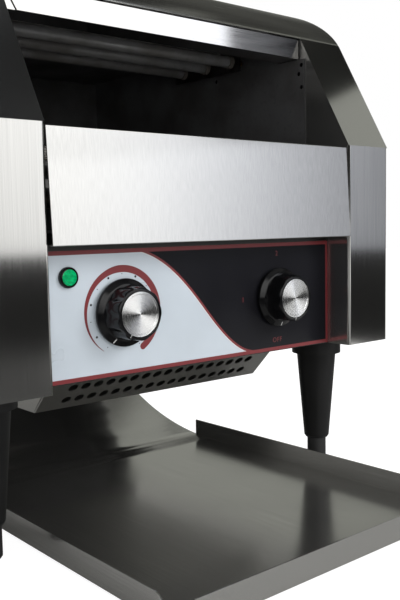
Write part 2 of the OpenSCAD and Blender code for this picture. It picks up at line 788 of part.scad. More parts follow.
// One trough over each heater
module upper_reflector() color("silver") at_body() across(-bracket_x, bracket_x)
    for (y = heater_ys) folded([
        [y - heater_step / 2, upper_heater_z + 4], [y - heater_step / 4, ceiling_z - 0.5],
        [y + heater_step / 4, ceiling_z - 0.5], [y + heater_step / 2, upper_heater_z + 4]], 0.8);

// A flat trough under the lower heaters, with its edges turned up
module lower_reflector() color("silver") at_body() {
    z = lower_heater_z - 9;
    y0 = heater_ys[0] - 15;
    y1 = heater_rows_end_y + 15;
    across(-bracket_x, bracket_x)
        folded([[y0 - 3, z + 6], [y0, z], [y1, z], [y1 + 3, z + 6]], 0.8);
}

// ---- Conveyor ----

// Depth and height of every cross rod around the loop
rod_places = concat(
    [for (i = [0:belt_links]) [front_shaft_y + i * belt_pitch, shaft_z + pitch_r]],
    [for (i = [0:belt_links]) [front_shaft_y + i * belt_pitch, shaft_z - pitch_r]],
    [for (k = [1:belt_teeth / 2 - 1]) let (a = 90 + 360 / belt_teeth * k)
        [front_shaft_y + pitch_r * cos(a), shaft_z + pitch_r * sin(a)]],
    [for (k = [1:belt_teeth / 2 - 1]) let (a = 90 - 360 / belt_teeth * k)
        [rear_shaft_y + pitch_r * cos(a), shaft_z + pitch_r * sin(a)]]);

// The belt's side outline, grown or shrunk from the line through its rods
module belt_loop(grow) {
    for (y = [front_shaft_y, rear_shaft_y]) translate([y, shaft_z]) circle(r = pitch_r + grow);
    translate([front_shaft_y, shaft_z - pitch_r - grow])
        square([rear_shaft_y - front_shaft_y, 2 * (pitch_r + grow)]);
}

module conveyor_belt() color("lightgray") at_body() {
    first = -floor(belt_link_rows / 2);
    for (p = rod_places) bar_x(belt_rod_d, -belt_w / 2, belt_w / 2, p[0], p[1]);
    for (i = [first:-first])
        across(i * link_step - belt_link_w / 2, i * link_step + belt_link_w / 2) difference() {
            belt_loop(belt_link_t / 2);
            belt_loop(-belt_link_t / 2);
        }
}

// A belt sprocket: the rods lie over its lands, and the notches stand between them
module belt_sprocket() rotate([0, 90, 0]) translate([0, 0, -belt_sprocket_t / 2]) difference() {
    land_r = pitch_r - belt_rod_d / 2 - 0.4;
    union() {
        linear_extrude(belt_sprocket_t) difference() {
            circle(r = land_r);
            for (i = [0:belt_teeth - 1]) rotate(360 / belt_teeth * (i + 0.5))
                translate([land_r + 1, 0]) circle(r = 3.4);
        }
        translate([0, 0, -3]) cylinder(d = belt_shaft_d + 8, h = belt_sprocket_t + 6);
    }
    translate([0, 0, -4]) cylinder(d = belt_shaft_d + 0.06, h = belt_sprocket_t + 8);
}

module sprocket_row(y) at_body() for (k = sprocket_rows)
    translate([k * link_step, y, shaft_z]) belt_sprocket();

module front_sprockets() color("slategray") sprocket_row(front_shaft_y);

module rear_sprockets() color("slategray") sprocket_row(rear_shaft_y);

// A shaft with thinner ends, the right one as long as asked
module conveyor_shaft(y, right_end) at_body() {
    bar_x(belt_shaft_d, -shaft_half, shaft_half, y, shaft_z);
    bar_x(journal_d, -shaft_end, right_end, y, shaft_z);
}

module front_shaft() color("lightsteelblue") conveyor_shaft(front_shaft_y, shaft_end);

module rear_shaft() color("lightsteelblue") conveyor_shaft(rear_shaft_y, chain_x + 8);

module shaft_bushes() color("darkgoldenrod") at_body() both_sides()
    for (y = [front_shaft_y, rear_shaft_y]) difference() {
        union() {
            bar_x(bush_flange_d, wall_x - bush_flange_t, wall_x, y, shaft_z);
            bar_x(bush_d, wall_x - bush_flange_t, wall_x - bush_flange_t + bush_len, y, shaft_z);
        }
        bar_x(journal_d + 2 * shaft_fit, wall_x - 5, wall_x + bush_len + 1, y, shaft_z);
    }

// ---- Drive ----

// A chain sprocket on a hub, its bore on the shaft that carries it
module chain_sprocket(teeth, r, bore_d) translate([chain_x, 0, 0]) rotate([0, 90, 0]) difference() {
    union() {
        translate([0, 0, -sprocket_t / 2]) linear_extrude(sprocket_t) toothed_wheel(teeth, r - 1.8, r);
        translate([0, 0, -sprocket_t / 2 - 3]) cylinder(d = bore_d + 7, h = sprocket_t + 6);
    }
    translate([0, 0, -10]) cylinder(d = bore_d + 0.06, h = 20);
}

module driven_sprocket() color("slategray") at_body() translate([0, rear_shaft_y, shaft_z])
    chain_sprocket(driven_teeth, driven_r, journal_d);

module motor_sprocket() color("slategray") at_body() translate([0, motor_y, motor_z])
    chain_sprocket(motor_teeth, motor_r, motor_shaft_d);

module drive_chain() color("dimgray") at_body() across(chain_x - chain_w / 2, chain_x + chain_w / 2)
    difference() {
        wheel_loop([motor_y, motor_z], motor_r + chain_thick,
            [rear_shaft_y, shaft_z], driven_r + chain_thick);
        wheel_loop([motor_y, motor_z], motor_r + chain_slack,
            [rear_shaft_y, shaft_z], driven_r + chain_slack);
    }

module motor_shaft() color("lightsteelblue") at_body()
    bar_x(motor_shaft_d, bracket_plate_x - 20, chain_x + 6, motor_y, motor_z);

module gear_motor() color("gray") at_body() difference() {
    union() {
        translate([bracket_plate_x - gearbox_len, motor_y - gearbox_w / 2, motor_z - gearbox_w / 2])
            cube([gearbox_len, gearbox_w, gearbox_w]);
        bar_x(motor_can_d, bracket_plate_x - gearbox_len - motor_can_len,
            bracket_plate_x - gearbox_len + 1, motor_y, motor_z);
        bar_x(20, bracket_plate_x - 1, bracket_plate_x + bracket_plate_t + 2, motor_y, motor_z);
    }
    bar_x(motor_shaft_d + 2 * shaft_fit, bracket_plate_x - 20.4, bracket_plate_x + 20, motor_y, motor_z);
}

module motor_bracket() color("silver") at_body() difference() {
    union() {
        translate([bracket_plate_x, motor_y - gearbox_w / 2 - 6, base_top_z])
            cube([bracket_plate_t, gearbox_w + 12, motor_z + gearbox_w / 2 - base_top_z]);
        translate([bracket_plate_x - 26, motor_y - gearbox_w / 2 - 6, base_top_z])
            cube([28, gearbox_w + 12, bracket_plate_t]);
    }
    bar_x(20.4, bracket_plate_x - 1, bracket_plate_x + bracket_plate_t + 1, motor_y, motor_z);
}

// ---- Electrics ----

fan_bore = fan_w - 6;
fan_hub_d = 34;

module fan_frame() color("#222222") at_body() translate([0, fan_y, base_top_z]) difference() {
    union() {
        difference() {
            translate([-fan_w / 2, -fan_w / 2, 0]) cube([fan_w, fan_w, fan_t]);
            translate([0, 0, -1]) cylinder(d = fan_bore, h = fan_t + 2);
        }
        cylinder(d = fan_hub_d, h = 7);
        for (i = [0:3]) rotate(45 + 90 * i) translate([0, -2.5, 0]) cube([fan_bore / 2 + 2, 5, 4]);
    }
    translate([0, 0, 2]) cylinder(d = 4 + 2 * shaft_fit, h = 10);
    for (i = [0:3]) rotate(45 + 90 * i) translate([fan_w / sqrt(2) - 9, 0, -1])
        cylinder(d = 4.3, h = fan_t + 2);
}

module fan_rotor() color("#2a2a2a") at_body() translate([0, fan_y, base_top_z + 7.5]) {
    blade_h = fan_t - 9;
    cylinder(d = fan_hub_d, h = blade_h);
    translate([0, 0, -5]) cylinder(d = 4, h = 6);
    intersection() {
        cylinder(d = fan_bore - 3, h = blade_h);
        for (i = [0:fan_blades - 1]) rotate(360 / fan_blades * i) translate([0, 0, blade_h / 2])
            rotate([38, 0, 0]) translate([fan_hub_d / 2 - 3, -0.8, -blade_h])
                cube([fan_bore / 2, 1.6, 2 * blade_h]);
    }
}

// A board on four posts between the chamber wall and the fan, with plain components
module control_board() color("darkgreen") at_body() {
    gap_x = 5.9;
    fan_gap = 10;
    board = [wall_x - gap_x - fan_w / 2 - fan_gap, 100, 1.6];
    stand = 9;
    right = board[0];
    translate([-wall_x + gap_x, fan_y - 30, base_top_z]) {
        for (x = [6, right - 6], y = [6, board[1] - 6]) translate([x, y, 0]) cylinder(d = 6, h = stand);
        translate([0, 0, stand]) cube(board);
        translate([10, 14, stand]) cube([30, 24, 22]);
        translate([right - 26, 12, stand]) cube([16, 40, 16]);
        for (y = [52, 66, 80]) translate([20, y, stand]) cylinder(d = 10, h = 20);
        translate([right - 28, 66, stand]) cube([20, 24, 12]);
    }
}

// Four ways in a row, with a well over each clamping screw
module terminal_block() color("ivory") at_body() {
    ways = 4;
    way = 12;
    block = [26, way * ways + 6, 20];
    from_leg = [20, 86];
    translate([-leg_x - from_leg[0], leg_rear_y - from_leg[1], base_top_z]) difference() {
        cube(block);
        for (i = [0:ways - 1]) translate([block[0] / 2, 9 + way * i, block[2] - 6])
            cylinder(d = 7, h = 10);
    }
}

// Cable inlet: a hexagonal flange outside the rear panel, a lock nut inside, and a clear bore
module cord_gland() color("#222222") at_body() translate([-gland_x, rear_y, leg_h + 40])
    rotate([-90, 0, 0]) difference() {
        union() {
            translate([0, 0, -12]) cylinder(d = 16, h = 14);
            translate([0, 0, sheet]) cylinder(d = 25, h = 4, $fn = 6);
            translate([0, 0, sheet + 4]) cylinder(d1 = 19, d2 = 13, h = rear_recess - sheet - 4.2);
            translate([0, 0, -5.1]) cylinder(d = 24, h = 5, $fn = 6);
        }
        translate([0, 0, -15]) cylinder(d = 9, h = 40);
    }

// ---- Underside ----

// A pan under the body, open at the rear, with its holes in the sloping front
module vent_skirt() color("silver") at_body() {
    low_z = leg_h - skirt_h;
    slope = [skirt_run, -skirt_h];
    slope_len = norm(slope);
    back = [-slope[0], -slope[1]] / slope_len;
    tilt = atan2(skirt_h, skirt_run);
    low = [skirt_front_y + skirt_run, low_z];
    gap = 1.2;
    difference() {
        across(-skirt_half_w, skirt_half_w) folded([
            [skirt_front_y - 6, leg_h + sheet / 2], [skirt_front_y, leg_h + sheet / 2],
            [low[0], low[1] + sheet / 2], [skirt_back_y, low[1] + sheet / 2]], sheet);
        for (up = [10, 24], i = [-(vent_count - 1) / 2:(vent_count - 1) / 2])
            translate([i * vent_step, low[0] + back[0] * up, low[1] + back[1] * up])
                rotate([-tilt, 0, 0]) translate([0, 0, -4]) cylinder(d = vent_d, h = 8);
    }
    both_sides() across(skirt_half_w - sheet, skirt_half_w) polygon([
        [skirt_front_y + gap * 2, leg_h + sheet], [low[0] + gap * 1.4, low[1]],
        [skirt_back_y, low[1]], [skirt_back_y, leg_h + sheet]]);
    both_sides() translate([skirt_half_w - 12, skirt_front_y - 6, leg_h])
        cube([12, skirt_back_y - skirt_front_y + 6, sheet]);
}

// A leg with its collar under the body, a stud through the base, and a bore for the foot
module leg_solid() difference() {
    union() {
        translate([0, 0, foot_h + 2]) cylinder(d1 = leg_low_d, d2 = leg_top_d,
            h = leg_h - leg_collar_t - foot_h - 2);
        translate([0, 0, foot_h]) cylinder(d1 = leg_low_d - 3, d2 = leg_low_d, h = 2);
        translate([0, 0, leg_h - leg_collar_t]) cylinder(d = leg_collar_d, h = leg_collar_t);
        translate([0, 0, leg_h - 1]) cylinder(d = foot_screw_d, h = 14);
    }
    translate([0, 0, foot_h - 1]) cylinder(d = foot_screw_d + 2 * shaft_fit, h = foot_screw_len + 3);
}

// A round foot on its screw
module foot_solid() {
    cylinder(d1 = foot_d - 2, d2 = foot_d, h = 1.5);
    translate([0, 0, 1.5]) cylinder(d = foot_d, h = foot_h - 1.5);
    translate([0, 0, foot_h - 1]) cylinder(d = foot_screw_d, h = foot_screw_len);
}

module at_leg(side, y) at_body() translate([side * leg_x, y, 0]) children();

module leg_front_left() color("#181818") at_leg(-1, leg_front_y) leg_solid();
module leg_front_right() color("#181818") at_leg(1, leg_front_y) leg_solid();
module leg_rear_left() color("#181818") at_leg(-1, leg_rear_y) leg_solid();
module leg_rear_right() color("#181818") at_leg(1, leg_rear_y) leg_solid();

module foot_front_left() color("#242424") at_leg(-1, leg_front_y) foot_solid();
module foot_front_right() color("#242424") at_leg(1, leg_front_y) foot_solid();
module foot_rear_left() color("#242424") at_leg(-1, leg_rear_y) foot_solid();
module foot_rear_right() color("#242424") at_leg(1, leg_rear_y) foot_solid();

// ---- Toast tray ----

// Side outline of the curved slide, as thick as the sheet
module slide_outline() {
    turn = asin((tray_back_y - tray_curve_y) / tray_curve_r);
    reach = 2 * tray_curve_r;
    intersection() {
        translate([tray_curve_y, tray_floor_h + tray_curve_r]) difference() {
            circle(r = tray_curve_r + tray_t);
            circle(r = tray_curve_r);
        }
        translate([tray_curve_y, tray_floor_h + tray_curve_r])
            polygon([[0, 0], [0, -reach], [reach * sin(turn / 2), -reach * cos(turn / 2)],
                [reach * sin(turn), -reach * cos(turn)]]);
    }
}

module toast_tray() color("silver") at_body() {
    under = tray_floor_h - tray_t;
    lip_front_y = -tray_reach + tray_corner_gap;
    corner_r = tray_lip_h - 2;
    translate([-tray_half_w, -tray_reach, under])
        cube([2 * tray_half_w, tray_reach + tray_curve_y, tray_t]);
    translate([-tray_half_w, -tray_reach, under])
        cube([2 * tray_half_w, tray_t, tray_lip_h + tray_t]);
    across(-tray_half_w, tray_half_w) slide_outline();
    both_sides() across(tray_half_w - tray_t, tray_half_w) difference() {
        translate([lip_front_y, under]) square([tray_lip_back_y - lip_front_y, tray_lip_h + tray_t]);
        // rounded front corner
        difference() {
            translate([lip_front_y - 1, tray_floor_h + tray_lip_h - corner_r])
                square([corner_r + 1, corner_r + 1]);
            translate([lip_front_y + corner_r, tray_floor_h + tray_lip_h - corner_r])
                circle(r = corner_r);
        }
        // the lips follow the slide where it starts to rise
        translate([tray_curve_y, tray_floor_h - tray_t - 5]) square([100, 5]);
        difference() {
            translate([tray_curve_y, under - 1]) square([100, 4]);
            translate([tray_curve_y, tray_floor_h + tray_curve_r]) circle(r = tray_curve_r + tray_t);
        }
    }
}

// Pads that the tray stands on
module tray_bumpers() color("black") at_body() both_sides()
    for (y = [-tray_reach + 16, tray_curve_y - 20]) translate([tray_half_w - 16, y, 0])
        cylinder(d = 12, h = tray_floor_h - tray_t);

// ---- Fasteners ----

// A screw with its head at the top, and a cross recess in it
module pan_screw(shank) {
    head_h = 2.2;
    recess = [4, 0.9, 1.3];
    translate([0, 0, -shank]) cylinder(d = 4, h = shank + 0.1);
    difference() {
        cylinder(d1 = 8, d2 = 6.4, h = head_h);
        for (a = [45, 135]) rotate(a)
            translate([-recess[0] / 2, -recess[1] / 2, head_h - recess[2]]) cube(recess);
    }
}

module fasteners() color("lightgray") at_body() {
    // rear panel screws
    for (side = [-1, 1], z = rear_screw_zs)
        translate([side * (half_w - shell_flange / 2), rear_y + sheet, z])
            rotate([-90, 0, 0]) pan_screw(sheet - 0.05);
    // nuts on the leg studs
    for (side = [-1, 1], y = [leg_front_y, leg_rear_y]) translate([side * leg_x, y, base_top_z])
        difference() {
            cylinder(d = 15, h = 6, $fn = 6);
            translate([0, 0, -1]) cylinder(d = foot_screw_d + 0.04, h = 8);
        }
}

left_side_shell();
right_side_shell();
top_cover();
hood_lip();
front_guard();
rear_panel();
base_plate();
control_panel();
panel_overlay();
lamp_bezel();
lamp_lens();
speed_knob();
speed_knob_cap();
speed_shaft();
speed_control();
mode_knob();
mode_knob_cap();
mode_shaft();
mode_switch();
left_chamber_plate();
right_chamber_plate();
ceiling_plate();
chamber_floor();
rear_baffle();
upper_reflector();
upper_heaters();
lower_reflector();
lower_heaters();
heater_brackets();
heater_insulators();
heater_nuts();
conveyor_belt();
front_shaft();
front_sprockets();
rear_shaft();
rear_sprockets();
shaft_bushes();
driven_sprocket();
drive_chain();
motor_sprocket();
motor_shaft();
gear_motor();
motor_bracket();
fan_frame();
fan_rotor();
control_board();
terminal_block();
cord_gland();
vent_skirt();
leg_front_left();
leg_front_right();
leg_rear_left();
leg_rear_right();
foot_front_left();
foot_front_right();
foot_rear_left();
foot_rear_right();
toast_tray();
tray_bumpers();
fasteners();
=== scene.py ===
"""Dresses the conveyor toaster: finishes, panel print, knobs, lamp, light and camera.

Lengths are in metres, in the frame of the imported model: +X right, +Y to the rear, +Z up.
"""

import json
import logging
import math
from dataclasses import dataclass, field
from enum import Enum
from typing import Callable, Iterable, Sequence

import bmesh
import bpy
from mathutils import Euler, Matrix, Vector

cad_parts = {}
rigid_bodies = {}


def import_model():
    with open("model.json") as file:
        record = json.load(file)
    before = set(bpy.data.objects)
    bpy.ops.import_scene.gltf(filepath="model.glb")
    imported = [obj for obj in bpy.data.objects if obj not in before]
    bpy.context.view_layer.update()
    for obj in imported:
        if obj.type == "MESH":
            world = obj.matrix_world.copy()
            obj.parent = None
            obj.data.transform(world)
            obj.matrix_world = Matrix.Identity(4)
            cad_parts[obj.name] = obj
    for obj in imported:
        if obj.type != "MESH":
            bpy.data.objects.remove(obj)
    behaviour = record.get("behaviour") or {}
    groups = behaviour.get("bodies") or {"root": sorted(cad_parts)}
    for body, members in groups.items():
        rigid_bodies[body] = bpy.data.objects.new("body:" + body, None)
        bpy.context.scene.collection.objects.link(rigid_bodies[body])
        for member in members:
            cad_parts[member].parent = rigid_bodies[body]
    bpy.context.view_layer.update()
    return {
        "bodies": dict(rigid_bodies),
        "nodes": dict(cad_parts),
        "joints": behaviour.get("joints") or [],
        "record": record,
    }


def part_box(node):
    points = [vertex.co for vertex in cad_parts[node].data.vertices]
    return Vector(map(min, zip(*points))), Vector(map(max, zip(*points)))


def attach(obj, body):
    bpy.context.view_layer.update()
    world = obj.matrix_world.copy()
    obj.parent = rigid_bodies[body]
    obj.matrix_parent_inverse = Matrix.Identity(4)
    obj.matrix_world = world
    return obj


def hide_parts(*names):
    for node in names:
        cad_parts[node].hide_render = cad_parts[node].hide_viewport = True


log = logging.getLogger("toaster")

MM = 0.001
# The range that most of a noise texture falls in
MIDDLE = (0.3, 0.7)
# Brush lines in a metre, along their run and across it
LINES_ALONG, LINES_ACROSS = 13.0, 2300.0
# The least bend at which an edge is rounded
FOLD_ANGLE = math.radians(38)

Socket = bpy.types.NodeSocket
Colour = tuple[float, float, float]
Feed = Socket | float | Colour
Point2 = tuple[float, float]
Ring = tuple[float, float, float]
Four = tuple[float, float, float, float]
RadiusAt = Callable[[float], float]


# ---------------------------------------------------------------- node graphs


class Graph:
    """A material's or world's node tree, with short calls to fill it."""

    def __init__(self, tree: bpy.types.NodeTree) -> None:
        """Empties the tree.

        Args:
            tree: the node tree to fill.
        """
        self.tree = tree
        tree.nodes.clear()

    def feed(self, node: bpy.types.Node, inputs: dict[str | int, Feed]) -> None:
        """Sets a node's inputs.

        Args:
            node: the node.
            inputs: socket name or number to a value or to another node's output.
        """
        for name, value in inputs.items():
            if isinstance(value, Socket):
                self.tree.links.new(value, node.inputs[name])
            else:
                node.inputs[name].default_value = value

    def add(self, kind: str, inputs: dict[str | int, Feed] | None = None,
            **settings: str) -> bpy.types.Node:
        """Adds one node.

        Args:
            kind: the node's type, without the leading ShaderNode.
            inputs: what its inputs are fed with.
            settings: the node's own properties.

        Returns:
            The new node.
        """
        node = self.tree.nodes.new("ShaderNode" + kind)
        for name, value in settings.items():
            setattr(node, name, value)
        self.feed(node, inputs or {})
        return node

    def math(self, operation: str, *values: Socket | float) -> Socket:
        """One arithmetic step.

        Args:
            operation: the Math node's operation.
            values: numbers or sockets, in order.

        Returns:
            The result's socket.
        """
        return self.add("Math", dict(enumerate(values)), operation=operation).outputs[0]

    def ramp(self, value: Socket, low: float, high: float, out_low: float = 0.0,
             out_high: float = 1.0, smooth: bool = True) -> Socket:
        """Maps a value from one range to another, clamped.

        Args:
            value: the socket to map.
            low: where the range starts.
            high: where it ends.
            out_low: the result at low.
            out_high: the result at high.
            smooth: ease in and out.

        Returns:
            The result's socket.
        """
        ranges = {"Value": value, "From Min": low, "From Max": high,
                  "To Min": out_low, "To Max": out_high}
        kind = "SMOOTHSTEP" if smooth else "LINEAR"
        return self.add("MapRange", ranges, interpolation_type=kind).outputs["Result"]

    def mix(self, factor: Socket, first: Socket | Colour, second: Socket | Colour) -> Socket:
        """Blends two colours.

        Args:
            factor: 0 gives the first, 1 the second.
            first: a colour or socket.
            second: a colour or socket.

        Returns:
            The blended colour's socket.
        """
        node = self.add("Mix", data_type="RGBA")
        ends = (c if isinstance(c, Socket) else (*c, 1.0) for c in (first, second))
        self.feed(node, dict(zip((0, 6, 7), (factor, *ends))))
        return node.outputs[2]

    def noise(self, scale: Sequence[float], detail: float) -> Socket:
        """Noise stretched along the axes.

        Args:
            scale: features per metre along X, Y and Z.
            detail: octaves.

        Returns:
            The noise value's socket.
        """
        place = self.add("TexCoord").outputs["Object"]
        stretched = self.add("Mapping", {"Vector": place, "Scale": tuple(scale)}).outputs[0]
        inputs = {"Vector": stretched, "Scale": 1.0, "Detail": detail}
        return self.add("TexNoise", inputs).outputs[0]

    def specks(self, per_metre: float, detail: float) -> Socket:
        """Noise of the same size along every axis.

        Args:
            per_metre: features per metre.
            detail: octaves.

        Returns:
            The noise value's socket.
        """
        return self.noise((per_metre,) * 3, detail)

    def bands(self, place: Socket, scale: float, detail: float) -> Socket:
        """Noise along one value only.

        Args:
            place: the value.
            scale: features in each unit of it.
            detail: octaves.

        Returns:
            The noise value's socket.
        """
        inputs = {"W": place, "Scale": scale, "Detail": detail}
        return self.add("TexNoise", inputs, noise_dimensions="1D").outputs[0]

    def between(self, pattern: Socket, first: Colour, second: Colour) -> Socket:
        """Blends two colours by a noise.

        Args:
            pattern: the noise.
            first: the colour where it is low.
            second: the colour where it is high.

        Returns:
            The blended colour's socket.
        """
        return self.mix(self.ramp(pattern, *MIDDLE), first, second)

    def uneven(self, pattern: Socket, value: float, below: float, above: float) -> Socket:
        """Moves a value to both sides by a noise.

        Args:
            pattern: the noise.
            value: the value to move.
            below: how far it falls.
            above: how far it rises.

        Returns:
            The moved value's socket.
        """
        return self.ramp(pattern, *MIDDLE, value - below, value + above)

    def bump(self, height: Socket, strength: float, depth: float) -> Socket:
        """A bump from a height.

        Args:
            height: the height's socket.
            strength: from 0 to 1.
            depth: how far full height stands out, in metres.

        Returns:
            The normal's socket.
        """
        inputs = {"Height": height, "Strength": strength, "Distance": depth}
        return self.add("Bump", inputs).outputs[0]

    def axes(self, vector: Socket) -> tuple[Socket, ...]:
        """A vector's three parts."""
        return tuple(self.add("SeparateXYZ", {0: vector}).outputs)

    def facing(self) -> Socket:
        """The direction that the surface faces."""
        return self.add("NewGeometry").outputs["Normal"]

    def vector_math(self, operation: str, *values: Socket | Colour) -> bpy.types.Node:
        """One step on vectors.

        Args:
            operation: the Vector Math node's operation.
            values: vectors or sockets, in order.

        Returns:
            The node, whose outputs are a vector and a value.
        """
        return self.add("VectorMath", dict(enumerate(values)), operation=operation)


def new_material(name: str) -> tuple[bpy.types.Material, Graph, bpy.types.Node]:
    """Starts a material with one principled shader.

    Args:
        name: the material's name.

    Returns:
        The material, its graph and the shader.
    """
    material = bpy.data.materials.new(name)
    material.use_nodes = True
    graph = Graph(material.node_tree)
    shader = graph.add("BsdfPrincipled")
    graph.add("OutputMaterial", {"Surface": shader.outputs[0]})
    return material, graph, shader


def scaled(colour: Colour, share: float) -> Colour:
    """The colour, lighter or darker.

    Args:
        colour: linear red, green and blue.
        share: what each is multiplied by.

    Returns:
        The new colour, at most 1 in each channel.
    """
    return tuple(min(1.0, c * share) for c in colour)


# ---------------------------------------------------------------- finishes


class Grain(Enum):
    """The way that a brushed sheet's lines run, as the axis that they follow."""

    UPRIGHT = (0.0, 0.0, 1.0)
    ACROSS = (1.0, 0.0, 0.0)
    DEEP = (0.0, 1.0, 0.0)

    def features(self) -> tuple[float, ...]:
        """How many lines a metre holds along X, Y and Z."""
        return tuple(LINES_ALONG if share else LINES_ACROSS for share in self.value)


@dataclass(frozen=True)
class BrushedSteel:
    """Sheet steel with a fine directional grain and faint smudges."""

    name: str
    tone: Colour
    rough: float
    grain: Grain
    line_contrast: float = 0.12
    line_depth: float = 0.05
    anisotropy: float = 0.0
    smudge: float = 0.04
    smudge_step: float = 70 * MM
    line_rough: float = 0.015
    satin_within: float = 0.0
    satin_rough: float = 0.08
    satin_dull: float = 0.025
    dull: float = 0.0

    def build(self) -> bpy.types.Material:
        """Makes the material.

        Returns:
            The material.
        """
        material, graph, shader = new_material(self.name)
        lines = graph.noise(self.grain.features(), 5.0)
        smudges = graph.specks(1 / self.smudge_step, 4.0)
        dark, light = (scaled(self.tone, 1 + side * self.line_contrast) for side in (-1, 1))
        streaked = graph.ramp(lines, *MIDDLE, -self.line_rough, self.line_rough, smooth=False)
        worn = graph.ramp(smudges, 0.35, 0.7, -self.smudge, self.smudge)
        rough = graph.math("ADD", graph.math("ADD", streaked, worn), self.rough)
        metal = 1.0 - self.dull
        if self.satin_within:
            satin = self.on_returns(graph)
            rough = graph.math("MULTIPLY_ADD", satin, self.satin_rough, rough)
            metal = graph.math("MULTIPLY_ADD", satin, -self.satin_dull, metal)
        graph.feed(shader, {
            "Base Color": graph.between(lines, dark, light), "Roughness": rough,
            "Metallic": metal, "Normal": graph.bump(lines, self.line_depth, 0.2 * MM)})
        if self.anisotropy:
            graph.feed(shader, {"Anisotropic": self.anisotropy,
                                "Tangent": self.across_lines(graph)})
        return material

    def on_returns(self, graph: Graph) -> Socket:
        """Where the sheet faces sideways near the middle, on the columns' inner returns.

        Args:
            graph: the material's graph.

        Returns:
            A socket that is 1 there and 0 elsewhere.
        """
        sideways = graph.math("ABSOLUTE", graph.axes(graph.facing())[0])
        aside = graph.math("ABSOLUTE", graph.axes(graph.add("TexCoord").outputs["Object"])[0])
        near = graph.ramp(aside, self.satin_within, self.satin_within + 1 * MM, 1.0, 0.0)
        return graph.math("MULTIPLY", graph.ramp(sideways, 0.8, 0.95), near)

    def across_lines(self, graph: Graph) -> Socket:
        """The direction in a surface that runs across its brush lines, along which light spreads.

        Args:
            graph: the material's graph.

        Returns:
            The direction's socket.
        """
        across = graph.vector_math("CROSS_PRODUCT", graph.facing(), self.grain.value)
        kept_off_zero = graph.vector_math("ADD", across.outputs[0], (0.001, 0.002, 0.001))
        return graph.vector_math("NORMALIZE", kept_off_zero.outputs[0]).outputs[0]


@dataclass(frozen=True)
class SpunMetal:
    """A face-turned disc: rings about Y, and fans of light across them."""

    name: str
    tone: Colour
    rough: float
    ring_step: float = 0.35 * MM
    disc_d: float = 30 * MM

    def build(self) -> bpy.types.Material:
        """Makes the material.

        Returns:
            The material.
        """
        material, graph, shader = new_material(self.name)
        across, _, up = graph.axes(graph.add("TexCoord").outputs["Generated"])
        parts = (graph.math("SUBTRACT", part, 0.5) for part in (across, up))
        squares = (graph.math("MULTIPLY", part, part) for part in parts)
        radius = graph.math("SQRT", graph.math("ADD", *squares))
        turned = graph.math("MULTIPLY", radius, self.disc_d / self.ring_step)
        rings = graph.bands(turned, 1.0, 3.0)
        graph.feed(shader, {
            "Base Color": graph.between(rings, scaled(self.tone, 0.95), self.tone),
            "Roughness": graph.uneven(rings, self.rough, 0.015, 0.015),
            "Normal": graph.bump(rings, 0.05, 0.1 * MM),
            "Metallic": 1.0, "Anisotropic": 1.0, "Anisotropic Rotation": 0.25,
            "Tangent": graph.add("Tangent", direction_type="RADIAL", axis="Y").outputs[0]})
        return material


@dataclass(frozen=True)
class Moulded:
    """Plastic, rubber or ceramic with a faint moulded texture and slight unevenness of colour."""

    name: str
    tone: Colour
    rough: float
    texture_step: float = 0.6 * MM
    texture_depth: float = 0.08
    shade: float = 0.12
    specular: float = 0.5
    clouds_per_metre: float = 30.0

    def build(self) -> bpy.types.Material:
        """Makes the material.

        Returns:
            The material.
        """
        material, graph, shader = new_material(self.name)
        fine = graph.specks(1 / self.texture_step, 2.0)
        broad = graph.specks(self.clouds_per_metre, 3.0)
        dark, light = (scaled(self.tone, 1 + side * self.shade) for side in (-1, 1))
        graph.feed(shader, {
            "Base Color": graph.between(broad, dark, light),
            "Roughness": graph.uneven(broad, self.rough, 0.03, 0.04),
            "Normal": graph.bump(fine, self.texture_depth, 0.1 * MM),
            "Specular IOR Level": self.specular})
        return material


@dataclass(frozen=True)
class HeatedSteel:
    """Steel that heat has darkened in patches, with a bluish and a brownish cast, and painted
    shade on faces that face the front where asked.
    """

    name: str
    tone: Colour
    tint: Colour
    rough: float
    patch_step: float = 50 * MM
    metal: float = 1.0
    # Painted shade: the share of the tone kept on faces that face the front; below 1 darkens them
    front_painted_shade: float = 1.0
    spots_per_metre: float = 260.0

    def build(self) -> bpy.types.Material:
        """Makes the material.

        Returns:
            The material.
        """
        material, graph, shader = new_material(self.name)
        patches = graph.specks(1 / self.patch_step, 5.0)
        fine = graph.specks(self.spots_per_metre, 3.0)
        toned = graph.mix(graph.ramp(patches, 0.35, 0.68), self.tone, self.tint)
        spots = graph.ramp(fine, 0.55, 0.75, 0.0, 0.25)
        toned = graph.mix(spots, toned, scaled(self.tint, 0.6))
        if self.front_painted_shade < 1.0:
            # Painted shade: faces turned to the front (-Y) are darkened, standing in for shadow on
            # the plates' cut front edges
            painted_shade_mask = graph.ramp(graph.axes(graph.facing())[1], -0.9, -0.7, 1.0, 0.0)
            toned = graph.mix(painted_shade_mask, toned, scaled(self.tone, self.front_painted_shade))
        graph.feed(shader, {
            "Base Color": toned, "Metallic": self.metal,
            "Roughness": graph.uneven(patches, self.rough, 0.06, 0.08),
            "Normal": graph.bump(fine, 0.08, 0.2 * MM)})
        return material


@dataclass(frozen=True)
class Ink:
    """Screen-printed ink under a satin film."""

    name: str
    tone: Colour
    rough: float = 0.32
    metal: float = 0.0
    specular: float = 0.5
    weave_per_metre: float = 2600.0
    clouds_per_metre: float = 25.0

    def build(self) -> bpy.types.Material:
        """Makes the material.

        Returns:
            The material.
        """
        material, graph, shader = new_material(self.name)
        weave = graph.specks(self.weave_per_metre, 2.0)
        cloud = graph.specks(self.clouds_per_metre, 3.0)
        graph.feed(shader, {
            "Base Color": graph.between(cloud, scaled(self.tone, 0.96), scaled(self.tone, 1.03)),
            "Roughness": graph.uneven(cloud, self.rough, 0.03, 0.03),
            "Normal": graph.bump(weave, 0.05, 0.05 * MM),
            "Metallic": self.metal, "Specular IOR Level": self.specular})
        return material


